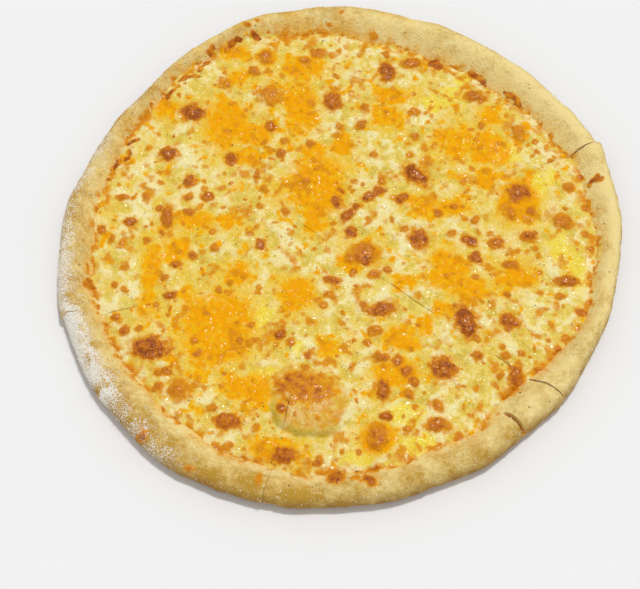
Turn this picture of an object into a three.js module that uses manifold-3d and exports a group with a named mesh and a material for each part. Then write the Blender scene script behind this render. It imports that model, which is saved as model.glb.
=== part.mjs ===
// A thin-crust cheese pizza, baked whole and cut into six slices that still lie together.
// Millimetres, +Z up. The origin is under the middle of the pizza, on the face that it rests on.
// The slices are worked out from the pie's centre.
// The last lines bring the middle of the pie's box over the origin.
import * as THREE from 'three';
import Module from 'manifold-3d';

const wasm = await Module();
wasm.setup();

const { degToRad } = THREE.MathUtils;
const { cos, sin, hypot, atan2, min, max, round, PI } = Math;

// Sizes of the whole pie
const PIE_RADIUS = 155;
const DOUGH_THICKNESS = 5;
const CHEESE_LEVEL = 9;
const RIM_HEIGHT = 15;
const RIM_WIDTH = 18;

// Shape of the rim, across it
const BOTTOM_TUCK = 5;
const WIDEST_HEIGHT = 6.5;
const CREST_SHARE = 0.42;
const SLOPE_UNDER_CHEESE = 5;
const MELTED_LIP = 0.9;
const LIP_CLIMB = 7;

// Clear space between two slices, and between the cheese and the dough under it
const CUT_GAP = 0.4;
const LAYER_GAP = 0.35;

// Hand-stretched dough is never quite round: slow waves, each with its lobes, its swell in mm and the bearing
// in degrees of one of its crests
const OUTLINE_WAVES = [
  { lobes: 2, swell: 4.1, crest: 50 },
  { lobes: 3, swell: 1.5, crest: -10 },
  { lobes: 4, swell: 1.1, crest: 15 },
  { lobes: 5, swell: 1.3, crest: 29 },
  { lobes: 17, swell: 0.5, crest: 4 },
];
const RIM_WIDTH_WAVES = [
  { lobes: 1, swell: 0.9, crest: -60 },
  { lobes: 2, swell: 4.4, crest: 54 },
  { lobes: 3, swell: 2.1, crest: -52 },
  { lobes: 5, swell: 1.4, crest: 18 },
  { lobes: 19, swell: 0.9, crest: 9 },
];
const RIM_HEIGHT_WAVES = [
  { lobes: 3, swell: 0.6, crest: 80 },
  { lobes: 7, swell: 0.4, crest: 20 },
  { lobes: 13, swell: 0.3, crest: 5 },
];

// Single bulges and dents of the outline and of the rim's width: middle and spread in degrees, swell in mm
const OUTLINE_BULGES = [
  { bearing: 316, spread: 12, swell: -1.3 },
  { bearing: 90, spread: 12, swell: -1 },
  { bearing: 40, spread: 12, swell: -1.2 },
];
const RIM_WIDTH_BULGES = [
  { bearing: 320, spread: 8, swell: 6.5 },
];

// The cuts cross a little off the pie's centre.
// Each runs out at its heading and swerves, in degrees, by the rim.
// The slice that starts at a cut ends at the next one; its corners stand proud of the round outline, in mm.
const CROSSING = new THREE.Vector2(-7.8, -2.3);
const SWERVE_POWER = 5;
const CUTS = [
  { heading: -36.6, swerve: 0.5, firstCorner: 0, lastCorner: 0.4 },
  { heading: 23.2, swerve: 0, firstCorner: -0.4, lastCorner: 2 },
  { heading: 71, swerve: 0, firstCorner: -0.6, lastCorner: 0 },
  { heading: 143.4, swerve: 1, firstCorner: 0, lastCorner: -0.4 },
  { heading: 203.4, swerve: -4.4, firstCorner: 0.4, lastCorner: 1.6 },
  { heading: 259.5, swerve: -1, firstCorner: -1, lastCorner: -0.4 },
];
const CORNER_SPAN = 5;

// A short slit that was cut in the rim of the last slice only
const SLIT = { heading: 313, length: 17, width: 1.3, floor: 8 };

// The largest blisters of the cheese: place from the pie's centre, breadth and rise
const BLISTERS = [
  { at: [-16, -99], breadth: 38, rise: 5 },
  { at: [-86, 80], breadth: 16, rise: 2.4 },
  { at: [-98, 51], breadth: 13, rise: 1.8 },
  { at: [-63, 49], breadth: 11, rise: 1.8 },
  { at: [-42, 93], breadth: 18, rise: 2.4 },
  { at: [-6, 90], breadth: 16, rise: 2.2 },
  { at: [4, 96], breadth: 15, rise: 2.2 },
  { at: [26, 111], breadth: 13, rise: 1.8 },
  { at: [54, 116], breadth: 13, rise: 1.6 },
  { at: [77, 95], breadth: 15, rise: 1.8 },
  { at: [42, 41], breadth: 18, rise: 2.6 },
  { at: [3, 14], breadth: 12, rise: 1.8 },
  { at: [43, 0], breadth: 15, rise: 2.2 },
  { at: [13, -11], breadth: 17, rise: 2 },
  { at: [-96, 11], breadth: 13, rise: 1.6 },
  { at: [-100, -69], breadth: 20, rise: 2.4 },
  { at: [-83, -93], breadth: 15, rise: 1.8 },
  { at: [-58, -110], breadth: 15, rise: 1.8 },
  { at: [23, -43], breadth: 14, rise: 1.6 },
  { at: [23, -91], breadth: 14, rise: 2 },
  { at: [20, -117], breadth: 14, rise: 1.6 },
  { at: [99, 31], breadth: 17, rise: 2.2 },
  { at: [103, 3], breadth: 13, rise: 1.8 },
  { at: [70, 0], breadth: 11, rise: 1.6 },
  { at: [67, -49], breadth: 19, rise: 2.6 },
  { at: [91, -49], breadth: 14, rise: 2 },
  { at: [55, -78], breadth: 16, rise: 2.2 },
  { at: [93, -81], breadth: 16, rise: 2 },
  { at: [122, -24], breadth: 12, rise: 1.6 },
];

// Lumps left by the melted curds, in rows that wander, and a slow sway of the whole surface
const LUMPS = { height: 0.35, east: 4.3, north: 4.9, twist: 1.3, twistLength: 9, bendLength: 11 };
const SWAY = { height: 0.4, east: 37, north: 43, start: 0.6 };
const BLISTER_ROUNDNESS = 1.5;

// Browned shreds of cheese along the rim, on its dough or on the margin of the cheese:
// bearing of the middle, inset from the edge, length, and turn from the direction along the rim
const STRIPS = [
  { bearing: 131, inset: 15, length: 14, turn: -22 },
  { bearing: 126, inset: 14, length: 10, turn: 18 },
  { bearing: 136.5, inset: 14, length: 12, turn: 8 },
  { bearing: 153.4, inset: 17, length: 8, turn: -32 },
  { bearing: 157.5, inset: 18, length: 9, turn: 4 },
  { bearing: 161, inset: 15, length: 9, turn: -8 },
  { bearing: 164, inset: 16, length: 7, turn: -10 },
  { bearing: 117, inset: 12, length: 14, turn: 18 },
  { bearing: 122.5, inset: 9, length: 6, turn: 20 },
  { bearing: 111, inset: 13, length: 7, turn: -60 },
  { bearing: 54, inset: 22, length: 14, turn: -8 },
  { bearing: 44, inset: 21, length: 14, turn: 4 },
  { bearing: 15, inset: 12, length: 9, turn: -57 },
  { bearing: 193, inset: 19, length: 8, turn: 30 },
];
const STRIP_WIDTH = 2.6;
const STRIP_RISE = 0.9;
const STRIP_SINK = 1;
const STRIP_CLEARANCE = 1.6;
const STRIP_STATIONS = [-0.5, -0.25, 0, 0.25, 0.5];
const STRIP_TAPER = 1.6;
const STRIP_SHOULDER = 0.4;

// How finely the faces are split, and how much wider the flat faces' triangles may be than long
const CHEESE_STEP = 4.9;
const RIM_STEP = 6.6;
const FLAT_STEP = 8;
const FLAT_SPREAD = 4 * FLAT_STEP;

// Where the rim's rows lie: shares of its width down the inner slope,
// then turns in degrees round the outer side
const INNER_ROWS = [1, 0.82, 0.62];
const OUTER_ROWS = [88, 58, 30, 0, -40];

// Looks
const MATERIALS = {
  crust: new THREE.MeshStandardMaterial({ color: 0xe2c58c, roughness: 0.8, metalness: 0 }),
  cheese: new THREE.MeshStandardMaterial({ color: 0xf0d276, roughness: 0.45, metalness: 0 }),
};

const wrapped = (angle) => atan2(sin(angle), cos(angle));
const smooth = (s) => s * s * (3 - 2 * s);
const clamped = (s) => min(1, max(0, s));

function waves(list, bearing) {
  return list.reduce((sum, w) => sum + w.swell * cos(w.lobes * (bearing - degToRad(w.crest))), 0);
}

function bulges(list, bearing) {
  return list.reduce((sum, b) => {
    const share = wrapped(bearing - degToRad(b.bearing)) / degToRad(b.spread);
    return sum + b.swell * Math.exp(-share * share);
  }, 0);
}

const pieRadius = (bearing) => PIE_RADIUS + waves(OUTLINE_WAVES, bearing) + bulges(OUTLINE_BULGES, bearing);

// Distance from the crossing to the pie's outline at an angle seen from the crossing
function outlineReach(angle) {
  const across = CROSSING.x * sin(angle) - CROSSING.y * cos(angle);
  const along = CROSSING.x * cos(angle) + CROSSING.y * sin(angle);
  let reach = PIE_RADIUS;
  for (let pass = 0; pass < 3; pass += 1) {
    const bearing = atan2(CROSSING.y + reach * sin(angle), CROSSING.x + reach * cos(angle));
    const radius = pieRadius(bearing);
    reach = -along + Math.sqrt(radius * radius - across * across);
  }
  return reach;
}

const bearingOf = (x, y) => atan2(y, x);
const rimWidth = (bearing) => RIM_WIDTH + waves(RIM_WIDTH_WAVES, bearing) + bulges(RIM_WIDTH_BULGES, bearing);
const rimHeight = (bearing) => RIM_HEIGHT + waves(RIM_HEIGHT_WAVES, bearing);

// Height of the crust's inner slope at an inset from the edge, from the crest down to the flat dough
function slopeHeight(inset, bearing) {
  const width = rimWidth(bearing);
  const crest = CREST_SHARE * width;
  const foot = width + SLOPE_UNDER_CHEESE;
  const down = smooth(clamped((inset - crest) / (foot - crest)));
  const top = rimHeight(bearing);
  return top - down * (top - DOUGH_THICKNESS);
}

// Rounded outer side of the rim
// Turn runs from -90 degrees at the bottom over 0 at the edge to 90 at the crest.
function outerSide(turn, bearing) {
  const crest = CREST_SHARE * rimWidth(bearing);
  const a = degToRad(turn);
  if (turn < 0) {
    return { inset: BOTTOM_TUCK * (1 - cos(a)), height: WIDEST_HEIGHT * (1 + sin(a)) };
  }
  const rise = (rimHeight(bearing) - WIDEST_HEIGHT) * sin(a);
  return { inset: crest * (1 - cos(a)), height: WIDEST_HEIGHT + rise };
}

// Top of the cheese: a lumpy level with blisters, which thins out and climbs a little where it meets the rim
function cheeseHeight(x, y, pastLine) {
  const bearing = bearingOf(x, y);
  const across = x / LUMPS.east + LUMPS.twist * sin(y / LUMPS.twistLength);
  const along = y / LUMPS.north + sin(x / LUMPS.bendLength);
  const lumps = LUMPS.height * sin(across) * cos(along);
  const sway = SWAY.height * sin(x / SWAY.east + SWAY.start) * cos(y / SWAY.north);
  let rise = 0;
  for (const blister of BLISTERS) {
    const share = hypot(x - blister.at[0], y - blister.at[1]) / (blister.breadth / 2);
    if (share < 1) rise += blister.rise * (1 - share * share) ** BLISTER_ROUNDNESS;
  }
  const edge = slopeHeight(rimWidth(bearing), bearing) + LAYER_GAP + MELTED_LIP;
  const climb = Math.exp(-pastLine / LIP_CLIMB);
  return (CHEESE_LEVEL + lumps + sway + rise) * (1 - climb) + edge * climb;
}

// Collects points and triangles of one closed solid
class Skin {
  constructor() {
    this.points = [];
    this.triangles = [];
  }

  add(point) {
    this.points.push(point.x, point.y, point.z);
    return this.points.length / 3 - 1;
  }

  // Fills the band between two rows of points, which may hold different numbers of points
  band(low, high, place = (row, i) => (row.length > 1 ? i / (row.length - 1) : 0.5)) {
    let a = 0;
    let b = 0;
    while (a < low.length - 1 || b < high.length - 1) {
      const stepHigh = a === low.length - 1
        || (b < high.length - 1 && place(high, b + 1) <= place(low, a + 1));
      if (stepHigh) {
        this.triangle(low[a], high[b], high[b + 1]);
        b += 1;
      } else {
        this.triangle(low[a], high[b], low[a + 1]);
        a += 1;
      }
    }
  }

  triangle(a, b, c) {
    if (a !== b && b !== c && c !== a) this.triangles.push(a, b, c);
  }

  // Distance from the crossing, by which a cut face's upper and lower chains keep step
  radiusOf(index) {
    return hypot(this.points[3 * index] - CROSSING.x, this.points[3 * index + 1] - CROSSING.y);
  }

  geometry() {
    const geometry = new THREE.BufferGeometry();
    geometry.setAttribute('position', new THREE.Float32BufferAttribute(this.points, 3));
    geometry.setIndex(this.triangles);
    geometry.computeVertexNormals();
    return geometry;
  }
}

// One slice, between its own cut and the next one round the pie
class Slice {
  constructor(index) {
    this.first = CUTS[index];
    this.last = CUTS[(index + 1) % CUTS.length];
    this.turns = index + 1 === CUTS.length ? 2 * PI : 0;
    this.span = this.angle(1, 1) - this.angle(0, 1);
    const start = this.angle(0, 0);
    const half = (this.angle(1, 0) - start) / 2;
    const slide = CUT_GAP / 2 / sin(half);
    this.shift = new THREE.Vector2(cos(start + half), sin(start + half)).multiplyScalar(slide);
  }

  // Angle about the crossing at share t across the slice and share out of the way to the edge
  angle(t, out) {
    const bent = out ** SWERVE_POWER;
    const from = degToRad(this.first.heading + this.first.swerve * bent);
    const to = degToRad(this.last.heading + this.last.swerve * bent) + this.turns;
    return from + t * (to - from);
  }

  // The edge that belongs to share t, with the corners that stand proud of the outline
  edge(t) {
    const reach = outlineReach(this.angle(t, 1));
    const arc = (share) => Math.exp(-share * this.span / degToRad(CORNER_SPAN));
    return reach + this.first.firstCorner * arc(t) + this.first.lastCorner * arc(1 - t);
  }

  // The point at share t and an inset from the edge; its height comes from the inset and the place
  point(t, insetOf, heightOf) {
    const edge = this.edge(t);
    const rim = this.angle(t, 1);
    const bearing = bearingOf(CROSSING.x + edge * cos(rim), CROSSING.y + edge * sin(rim));
    const inset = insetOf(bearing);
    const radius = edge - inset;
    const angle = this.angle(t, radius / edge);
    const x = CROSSING.x + this.shift.x + radius * cos(angle);
    const y = CROSSING.y + this.shift.y + radius * sin(angle);
    return new THREE.Vector3(x, y, heightOf(inset, bearing, x, y));
  }

  row(skin, count, insetOf, heightOf) {
    const indices = [];
    for (let i = 0; i < count; i += 1) {
      indices.push(skin.add(this.point(count > 1 ? i / (count - 1) : 0.5, insetOf, heightOf)));
    }
    return indices;
  }

  // Rows from the tip out to a last inset, with more points the further out they lie
  fan(skin, lastInset, step, spread, heightOf) {
    const rows = [this.row(skin, 1, () => this.edge(0.5), heightOf)];
    const tipToEdge = PIE_RADIUS - RIM_WIDTH;
    const count = round(tipToEdge / step);
    for (let k = 1; k < count; k += 1) {
      const share = k / count;
      const across = 2 + round(share * tipToEdge * this.span / spread);
      const indices = [];
      for (let i = 0; i < across; i += 1) {
        const t = i / (across - 1);
        const reach = this.edge(t) - lastInset(t);
        indices.push(skin.add(this.point(t, () => this.edge(t) - share * reach, heightOf)));
      }
      rows.push(indices);
    }
    return rows;
  }

  bearingAt(t) {
    const rim = this.angle(t, 1);
    const edge = this.edge(t);
    return bearingOf(CROSSING.x + edge * cos(rim), CROSSING.y + edge * sin(rim));
  }

  get rimCount() {
    return 1 + round(PIE_RADIUS * this.span / RIM_STEP);
  }
}

const underCheese = (bearing) => rimWidth(bearing) + SLOPE_UNDER_CHEESE;
const halfwayDown = (bearing) => rimWidth(bearing) + SLOPE_UNDER_CHEESE / 2;

// Wraps a skin over the upper rows, down the outer side and back under the lower rows,
// and closes its two cut faces
function closedBetween(skin, upper, lower) {
  for (let k = 1; k < upper.length; k += 1) skin.band(upper[k - 1], upper[k]);
  skin.band(upper[upper.length - 1], lower[lower.length - 1]);
  for (let k = lower.length - 1; k > 0; k -= 1) skin.band(lower[k], lower[k - 1]);
  const place = (row, i) => skin.radiusOf(row[i]);
  const firstTop = upper.map((row) => row[0]);
  const firstBottom = lower.map((row) => row[0]);
  skin.band(firstTop, firstBottom, place);
  const lastTop = upper.map((row) => row[row.length - 1]);
  const lastBottom = lower.map((row) => row[row.length - 1]);
  skin.band(lastBottom, lastTop, place);
  return skin.geometry();
}

// The baked dough of one slice: flat under the cheese, with the rounded rim along its edge
function crustGeometry(slice) {
  const skin = new Skin();
  const across = slice.rimCount;
  const flatEdge = (t) => underCheese(slice.bearingAt(t));
  const upper = slice.fan(skin, flatEdge, FLAT_STEP, FLAT_SPREAD, () => DOUGH_THICKNESS);
  const slope = (inset, bearing) => slopeHeight(inset, bearing);
  upper.push(slice.row(skin, across, underCheese, slope));
  upper.push(slice.row(skin, across, halfwayDown, slope));
  for (const share of INNER_ROWS) {
    upper.push(slice.row(skin, across, (bearing) => share * rimWidth(bearing), slope));
  }
  for (const turn of OUTER_ROWS) {
    const insetOf = (bearing) => outerSide(turn, bearing).inset;
    upper.push(slice.row(skin, across, insetOf, (inset, bearing) => outerSide(turn, bearing).height));
  }
  const lower = slice.fan(skin, () => BOTTOM_TUCK, FLAT_STEP, FLAT_SPREAD, () => 0);
  lower.push(slice.row(skin, across, () => BOTTOM_TUCK, () => 0));

  return closedBetween(skin, upper, lower);
}

// The melted cheese of one slice, which lies on the dough and reaches up the inner slope of the rim
function cheeseGeometry(slice) {
  const skin = new Skin();
  const across = slice.rimCount;
  const cheeseLine = (t) => rimWidth(slice.bearingAt(t));
  const top = (inset, bearing, x, y) => cheeseHeight(x, y, max(0, inset - rimWidth(bearing)));
  const onSlope = (inset, bearing) => slopeHeight(inset, bearing) + LAYER_GAP;
  const upper = slice.fan(skin, cheeseLine, CHEESE_STEP, CHEESE_STEP, top);
  upper.push(slice.row(skin, across, rimWidth, top));

  const flatEdge = (t) => underCheese(slice.bearingAt(t));
  const lower = slice.fan(skin, flatEdge, FLAT_STEP, FLAT_SPREAD, () => DOUGH_THICKNESS + LAYER_GAP);
  lower.push(slice.row(skin, across, underCheese, onSlope));
  lower.push(slice.row(skin, across, halfwayDown, onSlope));
  lower.push(slice.row(skin, across, rimWidth, onSlope));

  return closedBetween(skin, upper, lower);
}

// Height of the rim's upper surface at an inset, on either side of the crest
function rimTop(inset, bearing) {
  const crest = CREST_SHARE * rimWidth(bearing);
  if (inset >= crest) return slopeHeight(inset, bearing);
  const turn = THREE.MathUtils.radToDeg(Math.acos(1 - clamped(inset / crest)));
  return outerSide(turn, bearing).height;
}

// A shred lies wholly on the crust or wholly on the cheese, clear of the line where they meet
function seatOf(strip) {
  const line = rimWidth(degToRad(strip.bearing));
  const halfDepth = STRIP_WIDTH / 2 + Math.abs(sin(degToRad(strip.turn))) * strip.length / 2;
  const clear = halfDepth + STRIP_CLEARANCE;
  const onCheese = strip.inset > line - clear / 2;
  return { onCheese, inset: onCheese ? max(strip.inset, line + clear) : min(strip.inset, line - clear) };
}

// A shred of browned cheese that follows the surface under it and tapers at its ends
function stripGeometry(strip) {
  const seat = seatOf(strip);
  const bearing = degToRad(strip.bearing);
  const radius = pieRadius(bearing) - seat.inset;
  const middle = new THREE.Vector2(radius * cos(bearing), radius * sin(bearing));
  const heading = bearing + PI / 2 + degToRad(strip.turn);
  const along = new THREE.Vector2(cos(heading), sin(heading));
  const side = new THREE.Vector2(-along.y, along.x);
  const surface = (p) => {
    const under = bearingOf(p.x, p.y);
    const inset = pieRadius(under) - p.length();
    return seat.onCheese ? cheeseHeight(p.x, p.y, max(0, inset - rimWidth(under))) : rimTop(inset, under);
  };
  const skin = new Skin();
  const sections = STRIP_STATIONS.map((share) => {
    const half = STRIP_WIDTH / 2 * (1 - STRIP_TAPER * share * share);
    const centre = middle.clone().addScaledVector(along, share * strip.length);
    const corner = (offset, lift) => {
      const p = centre.clone().addScaledVector(side, offset);
      return skin.add(new THREE.Vector3(p.x, p.y, surface(p) + lift));
    };
    return [
      corner(-half, -STRIP_SINK), corner(half, -STRIP_SINK), corner(half, STRIP_SHOULDER * STRIP_RISE),
      corner(0, STRIP_RISE), corner(-half, STRIP_SHOULDER * STRIP_RISE),
    ];
  });
  for (let k = 1; k < sections.length; k += 1) {
    skin.band([...sections[k], sections[k][0]], [...sections[k - 1], sections[k - 1][0]]);
  }
  const closeEnd = ([a, b, c, d, e], reversed) => {
    for (const [p, q, r] of [[a, b, c], [a, c, d], [a, d, e]]) {
      skin.triangle(...(reversed ? [p, r, q] : [p, q, r]));
    }
  };
  closeEnd(sections[0], true);
  closeEnd(sections[sections.length - 1], false);
  return skin.geometry();
}

function solidOf(geometry) {
  const vertProperties = new Float32Array(geometry.attributes.position.array);
  const triVerts = new Uint32Array(geometry.index.array);
  return new wasm.Manifold(new wasm.Mesh({ numProp: 3, vertProperties, triVerts }));
}

function geometryOf(solid) {
  const mesh = solid.getMesh();
  const geometry = new THREE.BufferGeometry();
  geometry.setAttribute('position', new THREE.BufferAttribute(mesh.vertProperties, mesh.numProp));
  geometry.setIndex(new THREE.BufferAttribute(mesh.triVerts, 1));
  geometry.computeVertexNormals();
  return geometry;
}

// The knife-wide slit in the rim, as the block that is cut away
function slitSolid() {
  const heading = degToRad(SLIT.heading);
  const reach = outlineReach(heading);
  const height = 2 * RIM_HEIGHT;
  const block = new THREE.BoxGeometry(2 * SLIT.length, SLIT.width, height);
  block.rotateZ(heading);
  block.translate(
    CROSSING.x + reach * cos(heading), CROSSING.y + reach * sin(heading), SLIT.floor + height / 2,
  );
  return solidOf(merged(block));
}

// Keeps only the places of a box's corners, so that its faces share them
function merged(geometry) {
  const skin = new Skin();
  const seen = new Map();
  const position = geometry.attributes.position;
  const indices = Array.from(geometry.index.array, (i) => {
    const point = new THREE.Vector3().fromBufferAttribute(position, i);
    const key = point.toArray().map((value) => value.toFixed(4)).join();
    if (!seen.has(key)) seen.set(key, skin.add(point));
    return seen.get(key);
  });
  for (let i = 0; i < indices.length; i += 3) skin.triangle(...indices.slice(i, i + 3));
  return skin.geometry();
}

// Builds the six slices, each as its crust and its cheese
const pie = new THREE.Group();
CUTS.forEach((cut, index) => {
  const slice = new Slice(index);
  const holds = (bearing) => {
    const start = slice.bearingAt(0);
    const offset = (wrapped(bearing - start) + 2 * PI) % (2 * PI);
    return offset < (wrapped(slice.bearingAt(1) - start) + 2 * PI) % (2 * PI);
  };
  let crust = solidOf(crustGeometry(slice));
  let cheese = solidOf(cheeseGeometry(slice));
  for (const strip of STRIPS.filter((one) => holds(degToRad(one.bearing)))) {
    const shred = solidOf(stripGeometry(strip));
    if (seatOf(strip).onCheese) cheese = cheese.add(shred);
    else crust = crust.add(shred);
  }
  if (index === CUTS.length - 1) crust = crust.subtract(slitSolid());

  const crustMesh = new THREE.Mesh(geometryOf(crust), MATERIALS.crust);
  crustMesh.name = `crust_${index + 1}`;
  const cheeseMesh = new THREE.Mesh(geometryOf(cheese), MATERIALS.cheese);
  cheeseMesh.name = `cheese_${index + 1}`;
  pie.add(crustMesh, cheeseMesh);
});

const box = new THREE.Box3().setFromObject(pie);
pie.position.set(-(box.min.x + box.max.x) / 2, -(box.min.y + box.max.y) / 2, 0);

const pizza = new THREE.Group();
pizza.add(pie);
export default pizza;
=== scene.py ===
"""A thin-crust cheese pizza in six slices: golden rim, melted cream and orange cheese, browned blisters.

Sizes are in millimetres in the tables and functions, and in metres in the settings and meshes. The pie is worked
out about its own centre, and each mesh is then moved so that the middle of the pie's box is over the origin.
"""

import functools
import itertools
import math
from collections import namedtuple

import bpy
import numpy as np
from mathutils import Matrix, Vector


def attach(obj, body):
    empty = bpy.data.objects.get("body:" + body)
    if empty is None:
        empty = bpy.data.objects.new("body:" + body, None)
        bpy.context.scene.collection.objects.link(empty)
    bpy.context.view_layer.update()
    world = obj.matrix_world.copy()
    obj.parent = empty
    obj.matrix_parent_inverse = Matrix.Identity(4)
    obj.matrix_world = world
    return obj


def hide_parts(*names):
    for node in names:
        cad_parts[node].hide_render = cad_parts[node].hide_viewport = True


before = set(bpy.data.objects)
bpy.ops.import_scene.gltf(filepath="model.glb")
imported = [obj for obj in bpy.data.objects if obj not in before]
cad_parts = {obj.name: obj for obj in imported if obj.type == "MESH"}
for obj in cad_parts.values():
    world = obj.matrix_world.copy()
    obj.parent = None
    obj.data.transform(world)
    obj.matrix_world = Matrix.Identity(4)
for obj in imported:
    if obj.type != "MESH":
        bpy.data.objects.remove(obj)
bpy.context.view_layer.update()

bl_info = {
    "name": "Cheese Pizza",
    "version": (1, 0, 0),
    "blender": (4, 5, 0),
    "location": "View3D > Sidebar > Pizza",
    "description": "Builds a cut cheese pizza from its sizes and colours",
    "category": "Add Mesh",
}

MM = 0.001
SLICES = 6
SEED = 20

# Where the pie's own centre lies from the middle of the frame's box, in mm
PIE_SHIFT = (-0.848, -0.937)

# Form of the dough and the cheese, in mm and shares of the rim's width
BOTTOM_TUCK = 5.0
WIDEST_HEIGHT = 6.5
CREST_SHARE = 0.42
SLOPE_UNDER_CHEESE = 5.0
MELTED_LIP = 0.12
LIP_CLIMB = 7.0
CURD_RISE = 1.0
DOUGH_SINK = 0.6
RIM_SINK = 0.3
PATCH_SQUARENESS = 2.4

# How far stain and singe reach up the rim from the cheese in mm, and how much fuller the stain is at its edge
STAIN_REACH = 4.6
STAIN_EDGE = 1.2
STAIN_FULLER = 0.4
SINGE_REACH = 2.4

# Mesh step of what is hidden, and lengths of the outer side's arcs above and below its widest part, in mm
COARSE_STEP = 5.0
OUTER_ARC = 14
TUCK_ARC = 9

# How far a point of the dough faces outwards where drops of cheese no longer swell it, and how far it faces
# upwards at the lowest flour and on the flat underside
STEEP_SIDE = 0.8
LOWEST_DUST = -0.5
UNDERSIDE_UP = -0.001

# The cheese's outer lip: how far beyond its line and what share of the way down, how deep it sits in the dough,
# and how much it keeps of the marks on top
LIP_ROWS = ((0.5, 0.3), (0.9, 0.65), (1.2, 1.0))
LIP_SINK = 0.45
LIP_MARKS = 0.9

# Where the cheese's underside stops following the dough's swell, in mm inside the rim
UNDERSIDE_FADE = (SLOPE_UNDER_CHEESE + 2, 1.5)

# Mesh edges sharper than these, in degrees, are shaded as creases
CRUST_SHARP = 50
CHEESE_SHARP = 70

# Blisters: the most they rise in mm, their rise for their half breadth, how round they are, and how far their
# browning spreads in half breadths
BLISTER_RISE_MOST = 2.4
BLISTER_STEEPNESS = 0.42
BLISTER_ROUNDNESS = 1.2
SPOT_HALO = 1.9

# The dark ring in a well baked blister: its distance from the middle and its breadth, in half breadths
RING_AWAY = 0.7
RING_BREADTH = 0.22

# Small blisters strewn between the named ones: how many are tried and how far out, their half breadth in mm with
# its spread and skew towards small ones, their stretch and tone, and their rise for their half breadth
STREWN_SPOTS = 700
STREWN_REACH = 139
STREWN_SMALLEST = 0.8
STREWN_SPREAD = 1.6
STREWN_SKEW = 1.6
STREWN_STRETCH = (0.75, 1.35)
STREWN_TONE = (0.2, 0.6)
STREWN_RISE = 0.3

# Studio
SENSOR = 36
SKY_STRENGTH = 0.6
SUN_STRENGTH = 1.62
SUN_SOFTNESS = 6
SUN_FROM = (0.24, 0.36, 1.5)
CAMERA_REACH = 20
FLOOR_HALF = 2500
FLOOR_DROP = 0.02
FLOOR_CLOUDS = 400
FLOOR_GREYS = ((0.80, 0.80, 0.80, 1), (0.82, 0.82, 0.82, 1))

# Hand-stretched dough: lobes, swell in mm and the bearing in degrees of one crest
OUTLINE_WAVES = ((2, 4.1, 50), (3, 1.5, -10), (4, 1.1, 15), (5, 1.3, 29), (17, 0.5, 4))
RIM_WIDTH_WAVES = ((1, 0.9, -60), (2, 4.4, 54), (3, 2.1, -52), (5, 1.4, 18), (19, 0.9, 9))
RIM_HEIGHT_WAVES = ((3, 0.6, 80), (7, 0.4, 20), (13, 0.3, 5))

# Single bulges and dents of the outline, the rim's width, the cheese's outer line and the rim's golden stain:
# swell in mm, or share for the stain, and bearing of the middle and spread in degrees
OUTLINE_BULGES = ((-1.3, 316, 12), (-1.0, 90, 12), (-1.2, 40, 12))
RIM_WIDTH_BULGES = ((6.5, 320, 8),)
CHEESE_LINE_BULGES = ((-2.5, 114, 7), (-1.5, 20, 14))
STAIN_BULGES = ((0.45, 98, 26),)

# The knife's cuts about their crossing: heading and swerve in degrees, and how far the corners of the slice that
# starts there stand proud of the round outline, in mm
CROSSING = np.array((-7.8, -2.3))
SWERVE_POWER = 5
CORNER_SPAN = 5
Cut = namedtuple("Cut", "heading swerve first_corner last_corner")
CUTS = (
    Cut(-36.6, 0.5, 0.0, 0.4),
    Cut(23.2, 0.0, -0.4, 2.0),
    Cut(71.0, 0.0, -0.6, 0.0),
    Cut(143.4, 1.0, 0.0, -0.4),
    Cut(203.4, -4.4, 0.4, 1.6),
    Cut(259.5, -1.0, -1.0, -0.4),
)

# Stretches of the cuts that stay open in the baked cheese: from and to, in mm from the crossing, and the width
OPEN_STRETCHES = (
    ((42, 73, 0.4), (111, 123, 0.5), (133, 170, 0.8)),
    ((128, 150, 0.3), (150, 180, 0.6)),
    ((160, 175, 0.8),),
    ((7, 18, 0.3),),
    ((108, 127, 0.45), (136, 165, 0.7)),
    ((95, 112, 0.3), (134, 165, 0.25)),
)

# Width of a healed cut, and the lengths over which an open stretch ends and the middle of the pie closes, in mm
HEALED_GAP = 0.03
GAP_TAPER = 3
CLOSED_TIP = 2

# How far from a cut its gap pushes the surface aside, and how the cheese dips towards an open cut, in mm
GAP_FADE = 6
GAP_DIP = 1.1
GAP_DIP_REACH = 0.7

# A short slit that was cut in the rim of the last slice only: its sizes in mm, how much wider than that its mouth
# is and how it narrows, the breadth of its lips in mm, and how toasted it is
SLIT = {"heading": 313.0, "length": 17.0, "width": 1.3, "floor": 8.0, "taper": 2.0}
SLIT_MOUTH = 1.2
SLIT_NARROWING = 0.4
SLIT_LIPS = (0.3, 0.2)
SLIT_TOAST = 0.42

# Where the photograph was taken from, in mm about the pie's centre, how it looks down, and the height in mm at
# which its marks are read
EYE = Vector((-10.95, -397.62, 732.46))
LOOK_DOWN = math.radians(63.41)
ROLL = math.radians(1.14)
FOCAL_PX = 1500.0
PHOTO_SIZE = (640, 589)
MARK_HEIGHT = 10

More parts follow.
